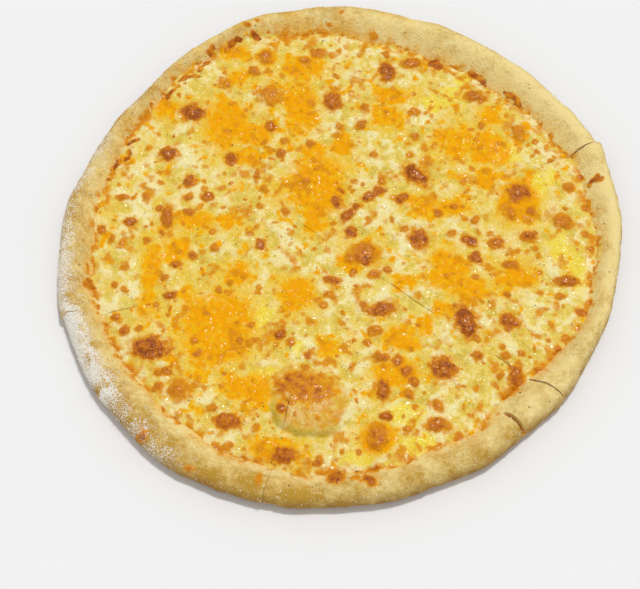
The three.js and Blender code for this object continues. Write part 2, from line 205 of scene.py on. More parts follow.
# Blisters of the cheese, by the photograph's pixels: middle, width, height, and how dark they are baked
Blister = namedtuple("Blister", "px py wide tall tone turn", defaults=(0,))
BLISTERS = [Blister(*row) for row in (
    (192, 111, 27, 19, 0.9), (168, 154, 20, 14, 0.9), (231, 158, 14, 14, 0.85), (226, 84, 14, 12, 0.6),
    (254, 71, 12, 12, 0.65), (266, 55, 18, 16, 0.7), (318, 52, 16, 12, 0.7), (306, 60, 14, 10, 0.6),
    (387, 70, 17, 23, 0.95), (387, 52, 10, 9, 0.6), (412, 62, 22, 14, 0.75), (437, 61, 19, 12, 0.95),
    (270, 94, 27, 23, 0.55), (332, 100, 20, 21, 0.8), (365, 106, 12, 12, 0.65), (271, 126, 12, 12, 0.8),
    (285, 140, 9, 9, 0.6), (281, 152, 10, 10, 0.7), (361, 124, 12, 12, 0.65), (310, 144, 10, 9, 0.6),
    (340, 126, 10, 9, 0.5), (374, 154, 10, 8, 0.55), (415, 135, 12, 10, 0.55), (414, 111, 12, 10, 0.55),
    (476, 95, 24, 15, 0.75), (481, 125, 10, 9, 0.55), (518, 133, 18, 21, 0.5), (416, 174, 30, 18, 1.0, -38),
    (257, 174, 9, 18, 0.6), (264, 188, 10, 9, 0.55), (306, 180, 10, 10, 0.6), (336, 201, 10, 13, 0.9),
    (341, 189, 10, 8, 0.75), (368, 196, 15, 9, 0.85, 15), (379, 191, 15, 9, 0.85, 20), (356, 206, 11, 9, 0.85),
    (347, 215, 17, 10, 0.9, 50), (350, 231, 12, 13, 0.9), (401, 198, 15, 10, 0.85, 25), (382, 179, 10, 14, 0.65),
    (419, 238, 20, 20, 0.85), (403, 228, 9, 8, 0.7), (365, 254, 28, 22, 0.7), (366, 261, 9, 9, 0.95),
    (351, 257, 14, 12, 0.6), (374, 273, 14, 11, 0.65), (354, 272, 10, 9, 0.7), (388, 270, 9, 9, 0.65),
    (333, 279, 18, 9, 0.75), (261, 244, 10, 12, 0.9), (250, 233, 9, 8, 0.6), (260, 205, 9, 8, 0.55),
    (286, 211, 9, 9, 0.6), (189, 181, 14, 14, 0.85), (207, 196, 12, 11, 0.8), (189, 196, 11, 9, 0.7),
    (189, 211, 11, 10, 0.7), (168, 215, 12, 26, 0.75), (160, 208, 10, 8, 0.6), (146, 197, 9, 11, 0.65),
    (123, 197, 13, 7, 0.7), (130, 220, 11, 9, 0.85), (101, 228, 11, 9, 0.75), (112, 238, 8, 9, 0.65),
    (148, 239, 8, 7, 0.7), (162, 233, 9, 9, 0.6), (213, 231, 8, 7, 0.55), (214, 248, 8, 12, 0.6),
    (193, 255, 10, 8, 0.75), (218, 289, 9, 8, 0.6), (230, 282, 8, 8, 0.5), (169, 295, 13, 9, 0.85),
    (175, 263, 12, 8, 0.75), (165, 277, 8, 8, 0.55), (115, 284, 9, 7, 0.7), (115, 316, 12, 8, 0.75),
    (124, 329, 12, 9, 0.75), (138, 329, 9, 8, 0.65), (102, 333, 8, 6, 0.75), (151, 347, 34, 21, 0.95),
    (163, 370, 20, 10, 0.75), (158, 385, 13, 9, 0.65), (180, 389, 23, 22, 0.55), (213, 407, 12, 9, 0.65),
    (227, 420, 26, 14, 0.8), (239, 339, 9, 8, 0.6), (194, 340, 8, 8, 0.55), (197, 352, 9, 8, 0.6),
    (128, 367, 10, 9, 0.6), (227, 445, 11, 9, 0.55), (280, 334, 12, 14, 0.85), (291, 342, 9, 8, 0.65),
    (308, 354, 10, 9, 0.7), (305, 368, 12, 9, 0.65), (375, 330, 14, 11, 0.6), (368, 342, 10, 8, 0.6),
    (383, 308, 29, 14, 0.85), (363, 304, 12, 10, 0.65), (330, 295, 14, 9, 0.55), (323, 305, 10, 9, 0.55),
    (384, 390, 13, 21, 0.85), (382, 357, 18, 10, 0.7), (398, 360, 14, 11, 0.75), (406, 370, 12, 12, 0.75),
    (414, 380, 10, 10, 0.75), (409, 393, 11, 9, 0.6), (386, 416, 12, 9, 0.9), (377, 437, 21, 25, 0.65),
    (285, 454, 27, 13, 0.85), (319, 460, 10, 11, 0.75), (261, 469, 11, 12, 0.6), (255, 427, 9, 9, 0.5),
    (407, 428, 10, 8, 0.5), (518, 191, 25, 20, 0.85), (511, 212, 14, 14, 0.55), (532, 210, 13, 12, 0.65),
    (528, 235, 21, 12, 0.75), (497, 243, 19, 11, 0.7), (468, 239, 18, 11, 0.9, -35), (476, 257, 12, 12, 0.85),
    (451, 233, 9, 9, 0.65), (439, 212, 9, 10, 0.7), (454, 206, 9, 8, 0.65), (476, 220, 10, 10, 0.6),
    (564, 220, 21, 16, 0.65), (569, 187, 13, 12, 0.65), (586, 206, 10, 9, 0.6), (586, 233, 9, 8, 0.6),
    (593, 248, 8, 8, 0.6), (566, 280, 27, 10, 0.8), (560, 296, 12, 8, 0.6), (583, 311, 13, 7, 0.8),
    (511, 264, 18, 11, 0.65), (466, 319, 22, 33, 1.0, 8), (510, 320, 20, 16, 0.85), (478, 355, 12, 11, 0.7),
    (444, 368, 25, 21, 0.9), (517, 375, 15, 24, 0.8), (500, 375, 10, 9, 0.6), (477, 338, 9, 8, 0.6),
    (521, 352, 9, 7, 0.6), (505, 355, 9, 8, 0.6), (438, 404, 13, 12, 0.6), (438, 424, 24, 13, 0.75),
    (459, 435, 11, 9, 0.6), (567, 338, 11, 10, 0.6), (560, 348, 12, 7, 0.7), (553, 356, 12, 7, 0.7),
    (541, 368, 11, 7, 0.7), (281, 409, 9, 8, 0.85),
)]

# Browned drops of cheese that ran onto the rim, in the same terms
RIM_DROPS = [Blister(*row) for row in (
    (89, 282, 13, 12, 0.7), (335, 476, 15, 17, 0.85), (370, 481, 15, 12, 0.9), (355, 478, 9, 7, 0.5),
    (142, 437, 10, 9, 0.8), (67, 316, 9, 6, 0.6), (97, 399, 5, 5, 0.5), (189, 471, 9, 6, 0.6),
    (259, 482, 7, 12, 0.5), (597, 182, 8, 6, 0.85), (587, 204, 5, 8, 0.5), (101, 237, 5, 9, 0.6),
    (100, 246, 4, 8, 0.5), (94, 222, 5, 4, 0.45), (248, 29, 7, 5, 0.65), (258, 24, 6, 5, 0.6), (329, 25, 6, 5, 0.5),
    (342, 17, 6, 4, 0.5), (373, 36, 9, 8, 0.5), (285, 34, 8, 7, 0.45), (305, 34, 8, 6, 0.45),
)]

# The one great bubble, pale with a browned crown: its place, its rise in mm, how round its top is, how brown its
# crown and its body are, and the way down its shaded side, where its clear wall is darkened with painted shade
GREAT_BUBBLE = Blister(312, 402, 80, 62, 0.0)
GREAT_BUBBLE_RISE = 5.0
GREAT_BUBBLE_ROUNDNESS = 0.7
CROWN_TOAST = 0.22
CROWN_CORE_TOAST = 0.36
BUBBLE_TOAST = 0.22
BUBBLE_SHADED_WAY = (-0.35, -0.94)

# Patches, as left, top, right and bottom in the photograph: browning on the great bubble, and orange cheese
BUBBLE_BROWNING = ((277, 372, 312, 400), (298, 376, 330, 400))
ORANGE_PATCHES = (
    (216, 43, 250, 61), (226, 69, 251, 91), (203, 100, 250, 149), (156, 97, 180, 117), (230, 119, 277, 146),
    (279, 77, 321, 136), (285, 151, 347, 213), (304, 200, 328, 233), (372, 86, 411, 103), (368, 104, 404, 128),
    (333, 132, 353, 155), (435, 123, 474, 160), (468, 130, 513, 168), (476, 106, 506, 127), (476, 168, 498, 188),
    (139, 245, 158, 315), (160, 237, 192, 264), (176, 209, 211, 233), (214, 213, 237, 230), (220, 264, 252, 284),
    (182, 292, 252, 365), (275, 277, 316, 309), (394, 274, 417, 291), (425, 249, 467, 288), (453, 277, 492, 302),
    (494, 262, 537, 290), (389, 326, 418, 353), (418, 314, 436, 334), (240, 374, 272, 405), (223, 373, 252, 393),
    (317, 336, 337, 354), (498, 176, 540, 222), (356, 240, 384, 262), (340, 248, 362, 268), (280, 54, 326, 80),
    (255, 44, 276, 66), (404, 196, 440, 214), (440, 196, 470, 216), (376, 362, 420, 384), (360, 424, 395, 452),
    (250, 440, 300, 462), (300, 140, 330, 160), (230, 145, 262, 165), (430, 300, 452, 318),
)

# Patches where yellow oil stands on the cheese
OIL_PATCHES = (
    (452, 68, 472, 88), (440, 86, 466, 106), (528, 166, 550, 196), (546, 228, 570, 260), (391, 405, 423, 424),
    (343, 453, 372, 465), (286, 340, 302, 352), (256, 306, 276, 326), (416, 456, 452, 466), (536, 168, 560, 182),
    (488, 140, 520, 160), (420, 90, 446, 112), (250, 368, 280, 380), (568, 250, 590, 290), (404, 436, 440, 452),
)

# Browned shreds along the rim: bearing, inset from the edge, length, and turn from the direction along the rim
Shred = namedtuple("Shred", "bearing inset length turn")
SHREDS = [Shred(*row) for row in (
    (131, 15, 14, -22), (126, 14, 10, 18), (136.5, 14, 12, 8), (153.4, 17, 8, -32), (157.5, 18, 9, 4),
    (161, 15, 9, -8), (164, 16, 7, -10), (117, 12, 14, 18), (122.5, 9, 6, 20), (111, 13, 7, -60),
    (54, 22, 14, -8), (44, 21, 14, 4), (15, 12, 9, -57), (193, 19, 8, 30),
)]

# Form of a shred: width in mm, rings and sides of its mesh, bend for its length, flatness, share of its thickness
# that the lower half has, lift in mm, and how toasted it is: least and most, mean, and more on top
SHRED_WIDTH = 2.7
SHRED_STATIONS = 25
SHRED_SIDES = 10
SHRED_BEND = 0.09
SHRED_FLATNESS = 0.55
SHRED_SUNK_SHARE = 0.6
SHRED_LIFT = 0.1
SHRED_TOAST = (0.1, 0.95)
SHRED_TOAST_MEAN = 0.5
SHRED_TOP_TOAST = 0.25

# Flour on the rim: bearing and spread in degrees, and amount
FLOUR_STRETCHES = ((203, 9, 1.0), (214, 7, 1.0), (190, 14, 0.7), (168, 20, 0.5), (140, 16, 0.3), (226, 12, 0.5))
FLOUR_EVERYWHERE = 0.08

# Coarse grains of flour: inset of the first in mm, share of the rim's width they reach and how they thin out on it,
# lengths in mm, flatness, how deep they sit in mm, and the least inset that is kept
GRAIN_INSET = 0.3
GRAIN_REACH = 0.75
GRAIN_THINNING = 0.8
GRAIN_LENGTHS = (0.3, 0.85)
GRAIN_FLATNESS = 0.8
GRAIN_SINK = 0.25
GRAIN_CLEARANCE = 0.1

# Flecks of dried herb: how far out and the least inset, lengths, flatness, height above the surface, all in mm, and
# how much lighter their second colour is
HERB_REACH = 150
HERB_CLEARANCE = 3
HERB_LENGTHS = (0.45, 1.15)
HERB_FLATNESS = 0.5
HERB_LIFT = 0.12
HERB_LIGHTER = 1.8

# Form of a grain or fleck: breadth for its length, unevenness of its corners, slant, and crease angle in degrees
CHIP_BREADTH = (0.35, 0.8)
CHIP_UNEVENNESS = (0.75, 1.25)
CHIP_SLANT = 0.2
CHIP_SHARP = 20

# How browned the rim is round the pie: lobes, swell and the bearing of one crest. The one-lobe wave is partly
# painted shade, darkest on the lower-left side away from the sun
TAN_MEAN = 0.55
TAN_AND_SHADE_WAVES = ((1, 0.5, 208), (2, 0.08, 90), (9, 0.1, 20))

# Noise that shapes and marks the pie: swell, size of the lumps in mm, seed, and octaves, or 0 for plain noise
FIELDS = {
    "dough swell": (0.75, 12, 20, 3),
    "dough grain": (0.3, 2.6, 22, 2),
    "stain": (1, 4.5, 24, 3),
    "singe": (1, 3.6, 26, 2),
    "margin": (1, 4.2, 28, 3),
    "cheese line": (3.2, 7.5, 30, 3),
    "cheese line edge": (1.1, 2.2, 33, 0),
    "blister edge": (0.42, 2.8, 41, 3),
    "blister speckle": (0.2, 1.5, 42, 2),
    "lumps": (1, 5.0, 50, 3),
    "fleck": (1, 2.1, 52, 2),
    "whey": (0.35, 1.8, 54, 0),
    "curds": (0.42, 2.2, 56, 2),
    "level": (0.5, 27, 58, 0),
    "crinkle": (0.24, 1.5, 59, 0),
    "orange streaks": (1, 3.6, 64, 3),
    "stray orange": (1, 6.0, 66, 3),
    "butter": (1, 15, 68, 3),
    "smudge": (1, 5.5, 72, 2),
    "crown": (0.9, 2.6, 84, 3),
    "bubble": (0.1, 4.0, 86, 3),
    "flour": (1, 5, 90, 3),
    "slit edge": (0.15, 3.0, 93, 0),
    "shred bend x": (1, 3, 95, 0),
    "shred bend y": (1, 3, 96, 0),
    "shred width": (0.5, 2.2, 97, 0),
    "shred toast": (0.5, 2.2, 98, 0),
    "shred height": (0.2, 1.6, 99, 0),
}

# How ragged the gaps are and the size of their lumps in mm, and how far a shred wanders in mm
GAP_NOISE = (0.4, 1.7)
SHRED_WANDER = 0.35

# How far noise pushes marks about in mm, the size of its lumps, and its seed
BLISTER_WARP = (1.1, 4.0, 40)
BUBBLE_WARP = (1.2, 7, 80)
PATCH_WARPS = ((3.6, 8.0, 0), (1.8, 2.6, 3))
PATCH_SEEDS = {"orange": 60, "oil": 70, "crown": 82}

# How strongly fine flecks, the fade round the patches and the patches themselves work on other masks, and the least
# that streaks leave of the orange and that smooth cheese has of the crinkle
FLECK_IN = {"curd": 0.5, "butter": 0.4, "smudge": 0.2}
FADE_IN = {"butter": 0.9, "orange": 0.2}
PATCH_IN_STREAKS = 0.3
STREAKS_LEAST = 0.45
CRINKLE_LEAST = 0.25

# How much calmer and less yellow the cheese is where it climbs to its outer line
MARGIN_CALM = 0.7
MARGIN_PALE = 0.6

# Soft steps that turn distances and noise into masks: full amount, and the values at which it starts and is full
RAMPS = {
    "blister core": (0.5, 1.2, 0.35),
    "blister glow": (0.42, SPOT_HALO, 0.45),
    "blister ring": (0.2, 0.6, 0.9),
    "blister speckle": (1, 1.3, 0.7),
    "patch": (1, 1.45, 0.5),
    "patch fade": (1, 2.1, 0.8),
    "orange streaks": (0.55, -0.6, 0.3),
    "stray orange": (0.8, 0.26, 0.66),
    "butter": (1, -0.25, 1.15),
    "curd": (1, -0.35, 0.5),
    "whey": (1, -0.1, -0.55),
    "smudge": (0.36, 0.05, 0.75),
    "off the bubble": (1, 0.8, 1.2),
    # Painted shade on the great bubble's clear wall, on its shaded side
    "bubble wall inside": (0.85, 0.78, 0.93),
    "bubble wall outside": (1, 1.08, 1.0),
    "bubble shaded side": (1, 0.2, 0.8),
    "bubble body": (1, 1.0, 0.75),
    "bubble smoothness": (0.6, 1.1, 0.9),
    "crinkle": (0.75, 0.25, 0.55),
    "margin butter": (0.7, -0.2, 0.5),
    "margin toast": (0.62, -0.35, 0.45),
    "brink toast": (0.13, 0.75, 1.0),
    "slope": (1, 1.0, 0.8),
    # Where the under colour, browned base and painted shade, comes in on the rim's outer side
    "low side": (1, 62, 5),
    "stain": (1, -0.4, 0.4),
    "singe": (0.6, -0.05, 0.4),
    "flour spread": (1, 1.6, 0.5),
    "flour low": (1, 0.85, 0.15),
    "flour patches": (1, -0.9, 0.2),
    "tan": (1, 1.15, 0.15),
}

# Lumps of the toasting's mottle and of the fine grain: size in mm and detail
MOTTLE_LUMPS = ((1.1, 4), (3.4, 2))
GRAIN_LUMPS = ((0.55, 3), (1.6, 1))

# How hard each darker colour is baked where it starts and where it is full, and how mottled each surface is
TOAST_STEPS = (("Golden", 0.02, 0.40), ("Brown", 0.32, 0.78), ("Dark", 0.68, 1.15))
CHEESE_MOTTLE = 1.0
CRUST_MOTTLE = 1.3
SHRED_MOTTLE = 0.5

# Finish of the surfaces
GRAIN_DEPTH = 0.5
DRY_CHEESE_ROUGHNESS = 0.92
WET_CHEESE_SMOOTHER = 0.66
BREAD_ROUGHNESS = 0.9
PALE_FLOUR = (0.94, 0.92, 0.86, 1)

# Whole numbers that stir the noise's hash
HASH_PRIMES = (374761393, 668265263, 982451653)
HASH_SEED_PRIME = 974634777
HASH_ROUNDS = ((13, 1274126177), (16, 2246822519))
HASH_LAST_SHIFT = 15
HASH_MASK = 0xFFFFFFFF
HASH_VALUES = 0x1000000

# How far each octave of noise is turned from the points' axes in radians, and how far apart the octaves' seeds are
OCTAVE_TURN = 0.7
OCTAVE_SEED_STEP = 31


# Settings


def length(name, description, value):
    return bpy.props.FloatProperty(
        name=name, description=description, default=value * MM, unit="LENGTH", precision=5
    )


def colour(name, description, value):
    return bpy.props.FloatVectorProperty(
        name=name, description=description, default=(*value, 1), subtype="COLOR", size=4, min=0, max=1
    )


class PizzaSizes(bpy.types.PropertyGroup):
    pie_radius: length("Pie radius", "Mean radius of the pie", 155)
    dough: length("Dough", "Thickness of the flat dough", 5)
    cheese_level: length("Cheese level", "Height of the melted cheese", 9)
    rim_height: length("Rim height", "Mean height of the rim", 15)
    rim_width: length("Rim width", "Mean width of the bare rim", 18)
    cheese_step: length("Cheese step", "Mesh step of the cheese", 0.56)
    rim_step: length("Rim step", "Mesh step of the rim", 0.85)
    under_step: length("Underside step", "Mesh step of the underside", 2.4)
    herbs: bpy.props.IntProperty(name="Herbs", description="How many flecks of dried herb", default=420, min=1)
    grains: bpy.props.IntProperty(name="Grains", description="How many coarse grains of flour", default=3600, min=1)


class PizzaColours(bpy.types.PropertyGroup):
    cream: colour("Cream", "Melted pale cheese", (0.81, 0.615, 0.115))
    curd: colour("Curd", "Raised pale curds", (0.90, 0.80, 0.40))
    # An olive clear wall on the great bubble, laid only on its shaded side as painted shade
    olive: colour("Olive", "Shaded clear wall of the great bubble", (0.50, 0.33, 0.02))
    whey: colour("Whey", "Clear greenish hollows between the curds", (0.62, 0.45, 0.05))
    butter: colour("Butter", "Yellow cheese between the pale and the orange", (0.85, 0.54, 0.03))
    orange: colour("Orange", "Orange cheese", (0.89, 0.375, 0.001))
    amber: colour("Amber", "Thinly spread orange cheese", (0.88, 0.48, 0.006))
    oil: colour("Oil", "Yellow oil", (0.85, 0.67, 0.022))
    golden: colour("Golden", "First browning of the cheese", (0.72, 0.28, 0.005))
    sienna: colour("Sienna", "Brown blisters", (0.52, 0.145, 0.003))
    umber: colour("Umber", "Darkest parts of the blisters", (0.27, 0.055, 0.003))
    dough: colour("Dough", "Pale baked dough", (0.87, 0.70, 0.29))
    tan: colour("Tan", "Browned dough", (0.51, 0.29, 0.038))
    # Under is the browned base and also painted shade on the low outer side, below the rim's bulge
    under: colour("Under", "Low side and underside of the dough", (0.40, 0.215, 0.045))
    crumb: colour("Crumb", "Inside of the dough", (0.85, 0.70, 0.42))
    flour: colour("Flour", "Flour and its coarse grains", (0.86, 0.82, 0.72))
    herb: colour("Herb", "Dried herbs", (0.06, 0.065, 0.012))


def mm(name):
    """One of the sizes in the settings, in millimetres."""
    return getattr(bpy.context.scene.pizza_sizes, name) / MM


def hue(name):
    """One of the colours in the settings, with its alpha."""
    return tuple(getattr(bpy.context.scene.pizza_colours, name))


# The photograph's view


def eye_axes():
    """Right, up and forward of the camera that looks down at the pie."""
    forward = Vector((0, math.cos(LOOK_DOWN), -math.sin(LOOK_DOWN)))
    level = Vector((1, 0, 0))
    high = level.cross(forward)
    right = math.cos(ROLL) * level + math.sin(ROLL) * high
    up = -math.sin(ROLL) * level + math.cos(ROLL) * high
    return right, up, forward


def under_pixel(px, py):
    """The place about the pie's centre, in mm, that a pixel of the photograph shows on the cheese."""
    right, up, forward = eye_axes()
    ray = forward + (px - PHOTO_SIZE[0] / 2) / FOCAL_PX * right - (py - PHOTO_SIZE[1] / 2) / FOCAL_PX * up
    place = EYE + ray * ((MARK_HEIGHT - EYE.z) / ray.z)
    return np.array((place.x, place.y))


def half_axes(wide, tall):
    """Half the breadth and depth in mm of a flat mark that is so many pixels wide and tall."""
    scale = EYE.length / FOCAL_PX
    return wide * scale / 2, tall * scale / 2 / math.sin(LOOK_DOWN)


# Noise from whole-number hashes, so that every run gives the same surface


def hashed(cells, seed):
    """Even values from 0 to 1, one for each row of whole numbers."""
    primes = np.array(HASH_PRIMES)[: cells.shape[1]]
    mixed = (cells.astype(np.int64) @ primes + seed * HASH_SEED_PRIME) & HASH_MASK
    for shift, factor in HASH_ROUNDS:
        mixed = ((mixed ^ (mixed >> shift)) * factor) & HASH_MASK
    return (mixed ^ (mixed >> HASH_LAST_SHIFT)) % HASH_VALUES / HASH_VALUES


def noise(points, size, seed):
    """Smooth noise from -1 to 1 at points of two or three axes, with lumps of about a size."""
    grid = points / size
    base = np.floor(grid)
    part = grid - base
    part = part * part * (3 - 2 * part)
    total = np.zeros(len(points))
    for corner in itertools.product((0, 1), repeat=points.shape[1]):
        weight = np.prod(np.where(corner, part, 1 - part), axis=1)
        total += weight * hashed(base + corner, seed)
    return 2 * total - 1


def fractal(points, size, seed, octaves):
    """Noise with finer noise over it, each turned so that their grids don't line up."""
    total = np.zeros(len(points))
    weight, most = 1.0, 0.0
    for octave in range(octaves):
        turn = OCTAVE_TURN + octave
        turned = points.copy()
        turned[:, 0] = points[:, 0] * math.cos(turn) - points[:, 1] * math.sin(turn)
        turned[:, 1] = points[:, 0] * math.sin(turn) + points[:, 1] * math.cos(turn)
        total += weight * noise(turned, size / 2**octave, seed + OCTAVE_SEED_STEP * octave)
        most += weight
        weight *= 0.5
    return total / most


def field(points, name):
    """One of the named noises at points."""
    swell, size, seed, octaves = FIELDS[name]
    if octaves:
        return swell * fractal(points, size, SEED + seed, octaves)
    return swell * noise(points, size, SEED + seed)


def smooth(low, high, value):
    """A soft step from 0 at a low value to 1 at a high one, or the other way round."""
    share = np.clip((value - low) / (high - low), 0, 1)
    return share * share * (3 - 2 * share)


def ramp(name, value):
    """One of the named soft steps."""
    amount, start, full = RAMPS[name]
    return amount * smooth(start, full, value)


# The pie's form


def waves(table, bearing):
    """Sum of even waves round the pie: lobes, swell and bearing of one crest."""
    return sum(swell * np.cos(lobes * (bearing - math.radians(crest))) for lobes, swell, crest in table)


def degrees_off(bearing, middle):
    """How far a bearing is from a middle, both in degrees, from -180 to 180."""
    return (bearing - middle + 180) % 360 - 180


def bulges(table, bearing):
    """Sum of single bulges: swell, bearing of the middle and spread in degrees."""
    degrees = np.degrees(bearing)
    return sum(
        swell * np.exp(-((degrees_off(degrees, middle) / spread) ** 2)) for swell, middle, spread in table
    )


def pie_radius(bearing):
    return mm("pie_radius") + waves(OUTLINE_WAVES, bearing) + bulges(OUTLINE_BULGES, bearing)


def rim_width(bearing):
    return mm("rim_width") + waves(RIM_WIDTH_WAVES, bearing) + bulges(RIM_WIDTH_BULGES, bearing)


def rim_height(bearing):
    return mm("rim_height") + waves(RIM_HEIGHT_WAVES, bearing)


def outline_reach(angle):
    """Distance from the crossing to the outline, at an angle seen from the crossing."""
    across = CROSSING[0] * np.sin(angle) - CROSSING[1] * np.cos(angle)
    along = CROSSING[0] * np.cos(angle) + CROSSING[1] * np.sin(angle)
    reach = np.full_like(angle, mm("pie_radius"))
    for _ in range(3):
        bearing = np.arctan2(CROSSING[1] + reach * np.sin(angle), CROSSING[0] + reach * np.cos(angle))
        radius = pie_radius(bearing)
        reach = -along + np.sqrt(radius**2 - across**2)
    return reach


def slope_height(inset, bearing):
    """Height of the crust's inner slope at an inset from the edge."""
    width = rim_width(bearing)
    down = smooth(CREST_SHARE * width, width + SLOPE_UNDER_CHEESE, inset)
    top = rim_height(bearing)
    return top - down * (top - mm("dough"))


def outer_side(turn, bearing):
    """Inset and height on the rounded outer side, by the turn from -90 degrees underneath to 90 at the crest."""
    angle = math.radians(turn)
    if turn < 0:
        return BOTTOM_TUCK * (1 - math.cos(angle)) + 0 * bearing, WIDEST_HEIGHT * (1 + math.sin(angle)) + 0 * bearing
    inset = CREST_SHARE * rim_width(bearing) * (1 - math.cos(angle))
    return inset, WIDEST_HEIGHT + (rim_height(bearing) - WIDEST_HEIGHT) * math.sin(angle)


def rim_top(inset, bearing):
    """Height of the rim's upper surface on either side of its crest."""
    share = np.clip(inset / (CREST_SHARE * rim_width(bearing)), 0, 1)
    outer = WIDEST_HEIGHT + (rim_height(bearing) - WIDEST_HEIGHT) * np.sqrt(1 - (1 - share) ** 2)
    return np.where(share < 1, outer, slope_height(inset, bearing))


def cut_gap(number, radius):
    """Width of a cut at a distance from the crossing: open stretches that taper, and a hair's breadth elsewhere."""
    width = np.full_like(radius, HEALED_GAP)
    for start, end, wide in OPEN_STRETCHES[number]:
        ends = smooth(start, start + GAP_TAPER, radius) * smooth(end, end - GAP_TAPER, radius)
        width = np.maximum(width, wide * ends)
    return width * smooth(0, CLOSED_TIP, radius)


class Slice:
    """One wedge of the pie, from its own cut to the next one round."""

    def __init__(self, index):
        self.index = index
        self.cuts = (CUTS[index], CUTS[(index + 1) % SLICES])
        self.turns = 2 * math.pi if index + 1 == SLICES else 0
        self.span = float(self.angle(1, 1) - self.angle(0, 1))

    def angle(self, share, out):
        """Angle seen from the crossing, at a share across the slice and a share of the way out."""
        bent = out**SWERVE_POWER
        start, end = (np.radians(cut.heading + cut.swerve * bent) for cut in self.cuts)
        return start + share * (end + self.turns - start)

    def edge(self, share):
        """Distance from the crossing to the slice's outer edge, with its corners."""
        reach = outline_reach(self.angle(share, 1.0))
        corners = self.span / math.radians(CORNER_SPAN)
        first = self.cuts[0].first_corner * np.exp(-share * corners)
        last = self.cuts[1].last_corner * np.exp((share - 1) * corners)
        return reach + first + last

    def bearing(self, share):
        """Bearing of the slice's outer edge, seen from the pie's centre."""
        edge, angle = self.edge(share), self.angle(share, 1.0)
        return np.arctan2(CROSSING[1] + edge * np.sin(angle), CROSSING[0] + edge * np.cos(angle))

    def place(self, share, radius):
        """Points at a share across the slice and a distance from the crossing, clear of the gaps of the cuts."""
        out = radius / self.edge(share)
        angle = self.angle(share, out)
        points = CROSSING + radius[:, None] * np.stack((np.cos(angle), np.sin(angle)), axis=1)
        for side, sign in ((0, 1), (1, -1)):
            cut = self.cuts[side]
            away = np.abs(share - side) * self.span * radius
            half = 0.5 * cut_gap((self.index + side) % SLICES, radius) * np.clip(1 - away / GAP_FADE, 0, 1)
            half *= 1 + GAP_NOISE[0] * noise(points, GAP_NOISE[1], SEED + side)
            heading = np.radians(cut.heading + cut.swerve * out**SWERVE_POWER)
            points += sign * half[:, None] * np.stack((-np.sin(heading), np.cos(heading)), axis=1)
        return points


def locate(points):
    """Inset from the edge and bearing of the edge, for points anywhere on the pie."""
    offset = points - CROSSING
    radius = np.hypot(offset[:, 0], offset[:, 1])
    angle = np.arctan2(offset[:, 1], offset[:, 0])
    inset, bearing = np.zeros(len(points)), np.zeros(len(points))
    for index in range(SLICES):
        piece = Slice(index)
        out = radius / outline_reach(angle)
        start, end = piece.angle(0, out), piece.angle(1, out)
        share = ((angle - start) % (2 * math.pi)) / (end - start)
        mine = share <= 1
        inset[mine] = piece.edge(share[mine]) - radius[mine]
        bearing[mine] = piece.bearing(share[mine])
    return inset, bearing


# Marks that baking leaves, as masks from 0 to 1 over points in the plan


def warped(points, amount, size, seed):
    """Points pushed about by noise, so that marks placed by them get uneven outlines."""
    shift = [fractal(points, size, SEED + seed + offset, 2) for offset in (0, 7)]
    return points + amount * np.stack(shift, axis=1)


def raised_spots(points, spots):
    """Toast and rise in mm that spots give: rows of middle, half axes, turn, tone and rise."""
    toast, rise = np.zeros(len(points)), np.zeros(len(points))
    shaken = warped(points, *BLISTER_WARP)
    ragged, speckled = field(points, "blister edge"), field(points, "blister speckle")
    for (cx, cy), (wide, deep), turn, tone, high in spots:
        near = np.flatnonzero(np.hypot(shaken[:, 0] - cx, shaken[:, 1] - cy) < SPOT_HALO * max(wide, deep))
        if not len(near):
            continue
        dx, dy = shaken[near, 0] - cx, shaken[near, 1] - cy
        u = (dx * math.cos(turn) + dy * math.sin(turn)) / wide
        v = (dy * math.cos(turn) - dx * math.sin(turn)) / deep
        away = np.maximum(0, np.hypot(u, v) + ragged[near])
        ring = np.exp(-(((away - RING_AWAY) / RING_BREADTH) ** 2))
        browned = ramp("blister core", away) + ramp("blister glow", away) + ramp("blister ring", tone) * ring
        browned = tone * (browned + speckled[near] * ramp("blister speckle", away))
        toast[near] = np.maximum(toast[near], browned)
        rise[near] = np.maximum(rise[near], high * np.clip(1 - away**2, 0, 1) ** BLISTER_ROUNDNESS)
    return toast, rise


def named_spots(table):
    """Spots from the blisters read in the photograph."""
    for row in table:
        axes = half_axes(row.wide, row.tall)
        rise = min(BLISTER_RISE_MOST, BLISTER_STEEPNESS * (axes[0] + axes[1]) / 2)
        yield under_pixel(row.px, row.py), axes, math.radians(row.turn), row.tone, rise


def strewn_spots():
    """Small browned spots strewn between the named ones."""
    rng = np.random.default_rng(SEED)
    taken = [(place, max(axes)) for place, axes, *_ in named_spots(BLISTERS)]
    for _ in range(STREWN_SPOTS):
        bearing, radius = rng.uniform(0, 2 * math.pi), STREWN_REACH * math.sqrt(rng.uniform())
        place = radius * np.array((math.cos(bearing), math.sin(bearing)))
        size = STREWN_SMALLEST + STREWN_SPREAD * rng.uniform() ** STREWN_SKEW
        stretch = rng.uniform(*STREWN_STRETCH)
        turn, tone = rng.uniform(0, math.pi), rng.uniform(*STREWN_TONE)
        if all(np.hypot(*(place - other)) > reach + size for other, reach in taken):
            taken.append((place, size))
            yield place, (size * stretch, size / stretch), turn, tone, STREWN_RISE * size


